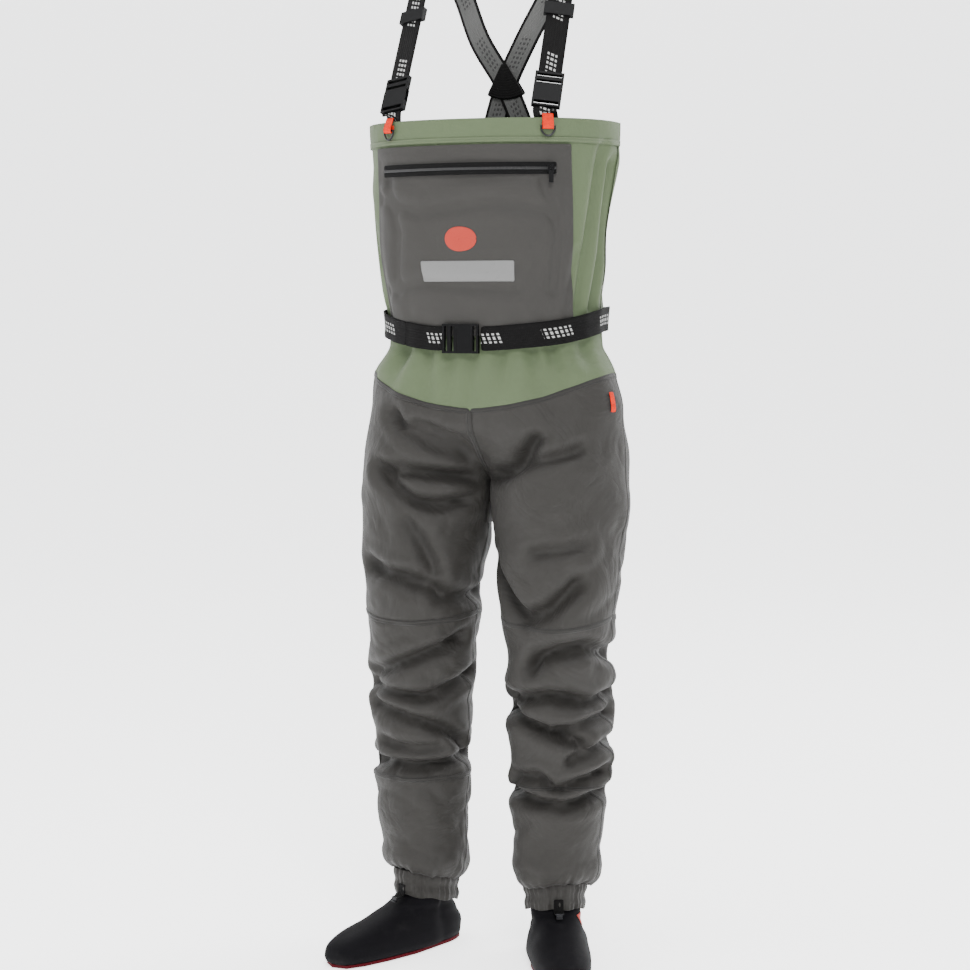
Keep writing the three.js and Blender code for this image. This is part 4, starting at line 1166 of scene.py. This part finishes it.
def unit(values):
    values = np.asarray(values, float)
    return values / np.linalg.norm(values)


tabDegrees = math.degrees(math.asin((brace["x"] / 0.21) ** (2.3 / 2)))
tabSag = (0.019 ** 2) / 0.15
backRim = ringPoint(180, cut["bibTop"] - cut["hem"], -0.003 - 2 * brace["wall"] - 0.002)[1]
backNormal = unit((0, 1, brace["slope"]))


def backPoint(x, height, lift):
    return np.array([x, backRim - brace["slope"] * (height - cut["bibTop"] + cut["hem"]),
                     height]) + backNormal * lift


def yawNormal(side, rise=0.0):
    turn = math.radians(brace["yaw"]) * side
    return np.array([math.sin(turn), -math.cos(turn), rise])


for sideName, side in (("left", 1), ("right", -1)):
    along = unit((brace["lean"][0] * side, brace["lean"][1], brace["lean"][2]))
    normal = yawNormal(side)
    middle = np.array([*ringPoint(tabDegrees * side, 1.373,
                                  -0.003 - 0.0009 - 0.0004 - tabSag - 0.001)[:2], 0])
    middle[1] += 0.001
    middle[2] = cut["bibTop"] + brace["base"] + 0.014
    tabLow = ringPoint(tabDegrees * side, cut["bibTop"] - cut["hem"], -0.0063 - tabSag)
    tabRim = ringPoint(tabDegrees * side, cut["bibTop"] - 0.002, -0.0063 - tabSag)
    rimNormal = (ringPoint(tabDegrees * side, cut["bibTop"], 0)
                 - ringPoint(tabDegrees * side, cut["bibTop"], -0.005))
    tabTop = middle - along * 0.0238
    strap(f"brace_tab_strap_{sideName}", [(tabLow, rimNormal), (tabRim, rimNormal),
          (tabTop - along * 0.005, unit(rimNormal) + normal * 4), (tabTop, normal)],
          brace["width"], brace["wall"], ["webbing", "webbingBack"], f"brace_tab_{sideName}", steps=16)
    straightEnd = 0.040 + brace["straight"]
    low = middle + along * 0.0404
    high = middle + along * straightEnd
    elastic = strap(f"brace_strap_{sideName}", [(low, normal), (high, normal)], brace["width"],
                    brace["wall"], ["webbing", "webbingBack"], f"brace_elastic_{sideName}", steps=34,
                    body=None)
    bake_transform(elastic)
    end = middle + along * (straightEnd + 0.0012)
    keeper = cut["bibTop"] + brace["rise"]
    crossLift = side * (brace["wall"] / 2 + 0.0005)
    route = [
        (end, normal),
        (end + along * 0.009, normal),
        ((side * 0.116, end[1] + 0.022, end[2] + 0.024), yawNormal(side, 0.7)),
        ((side * 0.106, end[1] + 0.046, end[2] + 0.033), (0, -0.1, 1)),
        ((side * 0.094, end[1] + 0.066, end[2] + 0.022), (0, 0.7, 0.7)),
        ((side * 0.080, end[1] + 0.078, end[2] - 0.006), (0, 1, 0.35)),
        (backPoint(side * 0.040, keeper + 0.071, crossLift), backNormal),
        (backPoint(0, keeper, crossLift), backNormal),
        (backPoint(-side * 0.026, cut["bibTop"] + 0.004, crossLift), backNormal),
        (backPoint(-side * 0.036, cut["bibTop"] - cut["hem"] + 0.004, crossLift), backNormal),
    ]
    strap(f"brace_back_strap_{sideName}", route, brace["width"], brace["wall"], ["webbing", "webbingBack"],
          f"brace_back_{sideName}", steps=90,
          wobble=0.0004)

def keeperPatch(name, away):
    # from the narrow top down to the curved lower edge
    grid = []
    for v in np.linspace(0, 1, 9):
        half = 0.004 + (0.033 - 0.004) * v
        top = cut["bibTop"] + brace["rise"] + 0.034 - 0.050 * v
        grid.append([backPoint(half * u, top - 0.008 * v * (1 - u * u), away)
                     for u in np.linspace(-1, 1, 13)])
    patch = gridSheet(name, np.array(grid), materials["plainWebbing"], 0.0016, offset=0, flip=away < 0)
    declare(patch, ["back_keeper"])
    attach(patch, "garment")


keeperPatch("back_keeper_patch", 0.0052)
keeperPatch("back_keeper_lining", -0.0036)
print("webbing ready")


# ribbon loops and their rings on the hem

for sideName, side in (("left", 1), ("right", -1)):
    base = ringPoint(tabDegrees * side, 1.361, 0.0028)
    outward = unit(ringPoint(tabDegrees * side, 1.361, 0.005) - ringPoint(tabDegrees * side, 1.361, 0))
    sideways = np.cross((0, 0, 1), outward)
    profile = [(0.0000, 0.0200), (0.0012, 0.0195), (0.0036, 0.0120), (0.0064, 0.0060), (0.0078, 0.0006),
               (0.0068, -0.0032), (0.0038, -0.0044), (0.0012, -0.0026), (0.0004, 0.0020), (0.0002, 0.0080)]
    grid = np.array([[base + outward * (out + 0.0002 * math.cos(u * 4)) + np.array([0, 0, 1]) * up
                      + sideways * u * 0.0088
                      for u in np.linspace(-1, 1, 7)] for out, up in profile])
    loopRibbon = gridSheet(f"ring_loop_ribbon_{sideName}", grid, materials["orange"], 0.0009, offset=0)
    declare(loopRibbon, [f"ring_loop_{sideName}"])
    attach(loopRibbon, "garment")


# cuffs, socks and hook tabs

def footPlace(side, points):
    turn = side * ankle["toeOut"]
    points = np.asarray(points, float)
    x = points[..., 0] * math.cos(turn) - points[..., 1] * math.sin(turn)
    y = points[..., 0] * math.sin(turn) + points[..., 1] * math.cos(turn)
    return np.stack([x + side * ankle["x"], y + ankle["y"] + shiftY, points[..., 2]], -1)


def ringSheet(name, grid, material, wall, levels=1):
    # grid rows run round the piece; the last point meets the first
    grid = np.asarray(grid)
    rows, columns = grid.shape[:2]
    closed = np.concatenate([grid, grid[:, :1]], 1)
    middle = closed[rows // 2]
    run = np.concatenate([[0], np.cumsum(np.linalg.norm(np.diff(middle, axis=0), axis=1))])
    column = grid[:, 0]
    rise = np.concatenate([[0], np.cumsum(np.linalg.norm(np.diff(column, axis=0), axis=1))])
    corners = []
    for i in range(rows - 1):
        for j in range(columns):
            corners += [(run[j], rise[i]), (run[j + 1], rise[i]), (run[j + 1], rise[i + 1]),
                        (run[j], rise[i + 1])]
    obj = newMesh(name, grid.reshape(-1, 3), gridFaces(rows, columns, True), corners, material)
    obj["flatSize"] = [float(run[-1]), float(rise[-1])]
    return thicken(obj, wall, levels=levels)


sock = {
    "columns": 72,
    "footLength": 0.288,
    "heelBack": 0.072,
    "footWidth": 0.104,
    "wall": 0.004,
    "stations": [  # height, toe reach, heel reach, half width
        (0.0056, 0.985, 0.985, 0.93),
        (0.012, 0.998, 0.998, 0.98),
        (0.018, 1.0, 1.0, 1.0),
        (0.032, 0.97, 1.0, 0.98),
        (0.045, 0.84, 0.93, 0.9),
        (0.060, 0.56, 0.84, 0.8),
    ],
}


def footRow(height, toeReach, heelReach, halfWidth):
    turn = np.linspace(0, 2 * math.pi, sock["columns"], endpoint=False)
    sine, cosine = np.sin(turn), np.cos(turn)
    ahead = sine < 0
    blunt = np.where(ahead, 0.9 - 0.3 * min(toeReach / sock["footLength"], 0.6) / 0.6, 0.85)
    x = halfWidth * np.where(ahead, 1, 0.86) * np.sign(cosine) * np.abs(cosine) ** blunt
    return np.stack([x, np.where(ahead, toeReach, heelReach) * sine, np.full(turn.shape, height)], -1)


toeReach = sock["footLength"] - sock["heelBack"]
for sideName, side in (("left", 1), ("right", -1)):
    inside = 0.0035 + 0.0042
    ankleToe = ankle["halfLength"] - ankle["setBack"] - inside
    ankleHeel = ankle["halfLength"] + ankle["setBack"] - inside
    ankleWide = ankle["halfWidth"] - inside
    rings = [(h, toeReach * t, sock["heelBack"] * k, sock["footWidth"] / 2 * w)
             for h, t, k, w in sock["stations"]]
    rings += [(0.072, ankleToe + 0.034, ankleHeel, ankleWide), (0.088, ankleToe, ankleHeel, ankleWide),
              (0.132, ankleToe - 0.002, ankleHeel - 0.001, ankleWide - 0.001)]
    rings = np.array(rings)
    spots = np.linspace(0, 1, 34)
    knots = np.linspace(0, 1, len(rings))
    slopes = np.gradient(rings, knots, axis=0)
    fair = []
    for spot in spots:
        i = min(int(spot * (len(rings) - 1)), len(rings) - 2)
        h = knots[1]
        t = (spot - knots[i]) / h
        fair.append(between(t, h, rings[i:i + 2], slopes[i:i + 2]))
    rows = [footRow(*values) for values in fair]
    under = [rows[0] * np.array([k, k, 1]) + np.array([0, -0.04 * (1 - k), 0.0004])
             for k in (0.03, 0.4, 0.8)]
    grid = np.array(under + rows)
    flat = grid.reshape(-1, 3)
    dent = swell(flat, 0.0016, 0.05, 21 + side) * smoothStep(flat[:, 2], 0.008, 0.03)
    slant = 0.05 * np.clip(-flat[:, 1], -0.05, 0.08)
    ankleWrinkle = -0.0016 * np.exp(-((flat[:, 2] - 0.066 - slant) / 0.005) ** 2)
    ankleWrinkle += -0.0012 * np.exp(-((flat[:, 2] - 0.05 - slant) / 0.004) ** 2)
    centre = np.array([0, -0.02, 0.0])
    radial = (flat - centre) * np.array([1, 0.6, 0])
    radial /= np.maximum(np.linalg.norm(radial, axis=1)[:, None], 1e-6)
    keep = smoothStep(flat[:, 2], 0.008, 0.03)
    flat = flat + radial * ((dent + ankleWrinkle) * keep)[:, None]
    grid = footPlace(side, flat.reshape(grid.shape))
    foot = ringSheet(f"sock_{sideName}_neoprene", grid, materials["neoprene"], sock["wall"])
    declare(foot, [f"sock_{sideName}"])
    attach(foot, "garment")

    cuffRows = []
    cuffTurn = np.linspace(0, 2 * math.pi, 160, endpoint=False)
    pleats = sum(np.sin(cuffTurn * n + p + side) * a for n, p,
                 a in ((29, 0.3, 0.5), (37, 1.1, 0.45), (17, 2.0, 0.4), (53, 0.7, 0.2)))
    for v in np.linspace(0, 1, 15):
        height = 0.079 + (0.1215 - 0.079) * v
        hug = 0.0016 * np.cos(v * 4 * math.pi)  # two rows of elastic pull it in
        wide = ankle["halfWidth"] + 0.001 + 0.004 * max(v - 0.6, 0) / 0.4 - hug * 0.6
        long = ankle["halfLength"] + 0.0005 - hug * 0.6
        ripple = pleats * (0.0014 + 0.0006 * math.sin(v * 9 + side))
        x = (wide + ripple) * np.cos(cuffTurn)
        y = ankle["setBack"] + (long + ripple) * np.sin(cuffTurn)
        z = height - ankle["tilt"] * y + (0.0016 * np.sin(cuffTurn * 7 + side) if v < 0.05 else 0)
        cuffRows.append(np.stack([x, y, z], -1))
    cuff = ringSheet(f"guard_cuff_{sideName}_cloth", footPlace(side, cuffRows), materials["leg"],
                     0.0022, levels=1)
    declare(cuff, [f"guard_cuff_{sideName}"])
    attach(cuff, "garment")

    front = ankle["setBack"] - ankle["halfLength"]
    rim = 0.080 - ankle["tilt"] * front
    out = front - 0.0004 - 0.0009
    stations = [((0, out, rim + 0.017), (0, -1, 0)), ((0, out - 0.0004, rim + 0.003), (0, -1, 0.1)),
                ((0, out - 0.005, rim - 0.0025), (0, -0.7, 0.7)),
                ((0, out - 0.015, rim - 0.003), (0, -0.1, 1))]
    turn = side * ankle["toeOut"]
    turned = [(footPlace(side, p), (-n[1] * math.sin(turn), n[1] * math.cos(turn), n[2])) for p,
              n in stations]
    strap(f"hook_tab_strap_{sideName}", turned, 0.016, 0.0018, ["plainWebbing"], f"hook_tab_{sideName}",
          steps=18)
print("feet ready")


# gusset between the legs

def gussetPoint(u, v):
    centre = readStations(legStations, cut["crotch"])
    y = (u * 2 - 1) * 0.036 + 0.012 + centre[1]
    height = cut["crotch"] - 0.006 - 0.042 * abs(v)
    legX, legY, half, frontDepth, backDepth = readStations(legStations, height)
    depth = frontDepth if y < legY else backDepth
    slice_ = math.sqrt(max(1 - ((y - legY) / depth) ** 2, 0))
    reach = max(legX - half * slice_ - 0.0015, 0)
    return (math.copysign(reach * min(abs(v) * 4, 1), v), y + shiftY, height)


gusset = gridSheet("crotch_gusset_cloth",
                   [[gussetPoint(u, v) for v in np.linspace(-1, 1, 25)] for u in np.linspace(0, 1, 21)],
                   materials["leg"], 0.0012)
declare(gusset, ["crotch_gusset"])
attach(gusset, "garment")


# zip

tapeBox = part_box("zip_tape_upper")
zipCentre = 0.210914
zipRadius = zipCentre - tapeBox[0][1]
zipReach = math.degrees(math.asin(tapeBox[1][0] / zipRadius))
zipHeight = tapeBox[0][2] - 0.0003
u, v = np.meshgrid(np.radians(np.linspace(-zipReach, zipReach, 260)), np.linspace(-0.0022, 0.0022, 7))
radius = zipRadius + 0.0012 * np.cos(np.linspace(-1.4, 1.4, 7))[:, None] + 0.0002
teeth = gridSheet("zip_teeth", np.stack([radius * np.sin(u), zipCentre - radius * np.cos(u),
                                         zipHeight + v], -1),
                  materials["teeth"], 0.0006)
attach(teeth, "garment")
for name, low, high, node in (("lower", -0.0095, -0.0006, "zip_tape_lower"),
                              ("upper", 0.0006, 0.0095, "zip_tape_upper")):
    u, v = np.meshgrid(np.radians(np.linspace(-zipReach, zipReach, 70)), np.linspace(low, high, 4))
    radius = zipRadius + 0.0006 * np.cos(np.linspace(-1, 1, 4))[:, None]
    tape = gridSheet(f"zip_tape_{name}_cloth",
                     np.stack([radius * np.sin(u), zipCentre - radius * np.cos(u), zipHeight + v], -1),
                     materials["zipTape"], 0.0011)
    declare(tape, [node])
    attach(tape, "garment")
print("zip ready")


# the CAD's own hard pieces get their finish

finishes = {"black_plastic": "plastic", "dark_steel": "steel", "sole_rubber": "sole"}
slotOf = {part["node"]: part["material_slot"] for part in frame["record"]["subparts"]}
for node, slotName in slotOf.items():
    obj = bpy.data.objects.get(node)
    if slotName in finishes and obj is not None:
        for holder in obj.material_slots:
            holder.material = materials[finishes[slotName]]


# seams, laid on the settled cloth

def seamAt(name, centreIds, beforeIds, afterIds, width, look):
    centre, before, after = start[centreIds], start[beforeIds], start[afterIds]
    return seamStrip(name, centre, before, after, clothNormals[centreIds], width, materials[look],
                     0.0007)


marks = np.cumsum([0, trousers["waistRows"], trousers["thighRows"], trousers["shinRows"],
                   trousers["guardRows"]])
for sideName, side in (("left", 1), ("right", -1)):
    front, back = ids[(side, -1)], ids[(side, 1)]
    for seamName, row, look in (("waist_seam", marks[1], "legSeam"), ("knee_seam", marks[2], "legSeam"),
                                ("guard_seam", marks[3], "legSeam")):
        for faceName, grid in (("front", front), ("back", back)):
            seamAt(f"{seamName}_{faceName}_{sideName}", grid[row], grid[row - 1], grid[row + 1], 0.0085,
                   look)
    seamAt(f"side_seam_{sideName}", front[marks[1]:, 0], front[marks[1]:, 1], back[marks[1]:, 1],
           0.0105, "legSeam")
    seamAt(f"waist_side_seam_{sideName}", front[:marks[1] + 1, 0], front[:marks[1] + 1, 1],
           back[:marks[1] + 1, 1], 0.0095,
           "sageSeam")
    low = [i for i in range(marks[1], len(front)) if front[i, -1] == back[i, -1]]
    seamAt(f"inseam_{sideName}", front[low, -1], front[low, -2], back[low, -2], 0.0105, "legSeam")
for faceName, face in (("front", -1), ("back", 1)):
    left, right = ids[(1, face)], ids[(-1, face)]
    high = [i for i in range(marks[1], marks[2]) if left[i, -1] == right[i, -1]]
    seamAt(f"rise_seam_{faceName}", left[high, -1], left[high, -2], right[high, -2], 0.0115, "legSeam")


def bibSeam(name, fromDegrees, toDegrees, low, high, offset, look, columns=120, width=0.008,
            upright=False):
    # a seam on the bib: along it at one height, or up it at one angle
    if upright:
        height = np.linspace(low, high, columns)
        degrees = np.full(columns, fromDegrees)
        spread = math.degrees(width / 2 / 0.2)
        lines = [bibPoint(degrees + k * spread, height, offset) for k in (-1, 0, 1)]
    else:
        degrees = np.linspace(fromDegrees, toDegrees, columns)
        lines = [bibPoint(degrees, np.full(columns, low + k * width / 2), offset) for k in (-1, 0, 1)]
    strip = gridSheet(name, np.array(lines), materials[look], 0.0006)
    declare(strip, ())
    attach(strip, "garment")


for faceName, low, high in (("front", -90, 90), ("back", 90, 270)):
    bibSeam(f"hem_seam_{faceName}", low, high, cut["bibTop"] - cut["hem"] + 0.0045, 0, 0.0032,
            "sageSeam")
for sideName, degrees in (("left", 90), ("right", 270)):
    bibSeam(f"bib_side_seam_{sideName}", degrees, 0, 1.066, cut["bibTop"] - cut["hem"], 0.0012,
            "sageSeam",
            upright=True)
print("seams ready")


for name, panel in panels.items():
    kind = next(k for k in panelFlats if name.startswith(k))


# printed patches: an orange disc, a pale bar and small tags

def pocketSkin(degrees, height):
    u = (degrees / bibPieces["pocketAngle"] + 1) / 2
    low = beltLine(np.radians(degrees)) + 0.004
    v = (height - low) / (bibPieces["pocketTop"] - low)
    return bibPoint(degrees, height, 0.0035 + 0.0006 + pocketLift(degrees, height, u, v))


def printed(name, grid, material, wall=0.0004):
    patch = gridSheet(name, grid, materials[material], wall, levels=1)
    declare(patch, ())
    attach(patch, "garment")


spin = np.linspace(0, 2 * math.pi, 41)
rim, turnRound = np.meshgrid(np.linspace(0.02, 1, 9), spin)
degreesPerMetre = math.degrees(1 / 0.185)
printed("chest_disc", pocketSkin(-1.8 + rim * np.cos(turnRound) * 0.0195 * degreesPerMetre,
                                 1.186 + rim * np.sin(turnRound) * 0.0195), "disc")
across, up = np.meshgrid(np.linspace(-0.068, 0.068, 40), np.linspace(-0.0165, 0.0165, 8))
printed("chest_bar", pocketSkin(across * degreesPerMetre, 1.135 + up), "bar")

skin = BVHTree.FromPolygons([tuple(p) for p in start], quads)


def onSkin(tree, eye, direction, spreadX, spreadZ, columns, rows, lift):
    eye, direction = Vector(eye), Vector(direction).normalized()
    sideways = direction.cross(Vector((0, 0, 1))).normalized()
    grid = []
    for v in np.linspace(-0.5, 0.5, rows):
        row = []
        for u in np.linspace(-0.5, 0.5, columns):
            hit = tree.ray_cast(eye + sideways * u * spreadX + Vector((0, 0, v * spreadZ)), direction)
            row.append(hit[0] - direction * lift)
        grid.append(row)
    return np.array([[tuple(p) for p in row] for row in grid])


hip = onSkin(skin, (0.6, -0.17 + shiftY, 0.925), (-1, 0.32, 0), 0.010, 0.032, 5, 14, 0.0018)
printed("hip_tag", hip[:, ::-1], "orange", 0.0006)
footTree = BVHTree.FromObject(bpy.data.objects["sock_left_neoprene"], bpy.context.evaluated_depsgraph_get())
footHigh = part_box("sock_left")[1]
ankleMark = onSkin(footTree, (footHigh[0] + 0.05, footHigh[1] - 0.095, 0.070), (-1, 0.1, 0), 0.026,
                   0.016, 10, 7, 0.0009)
printed("foot_mark", ankleMark[:, ::-1], "disc", 0.0004)
print("prints ready")
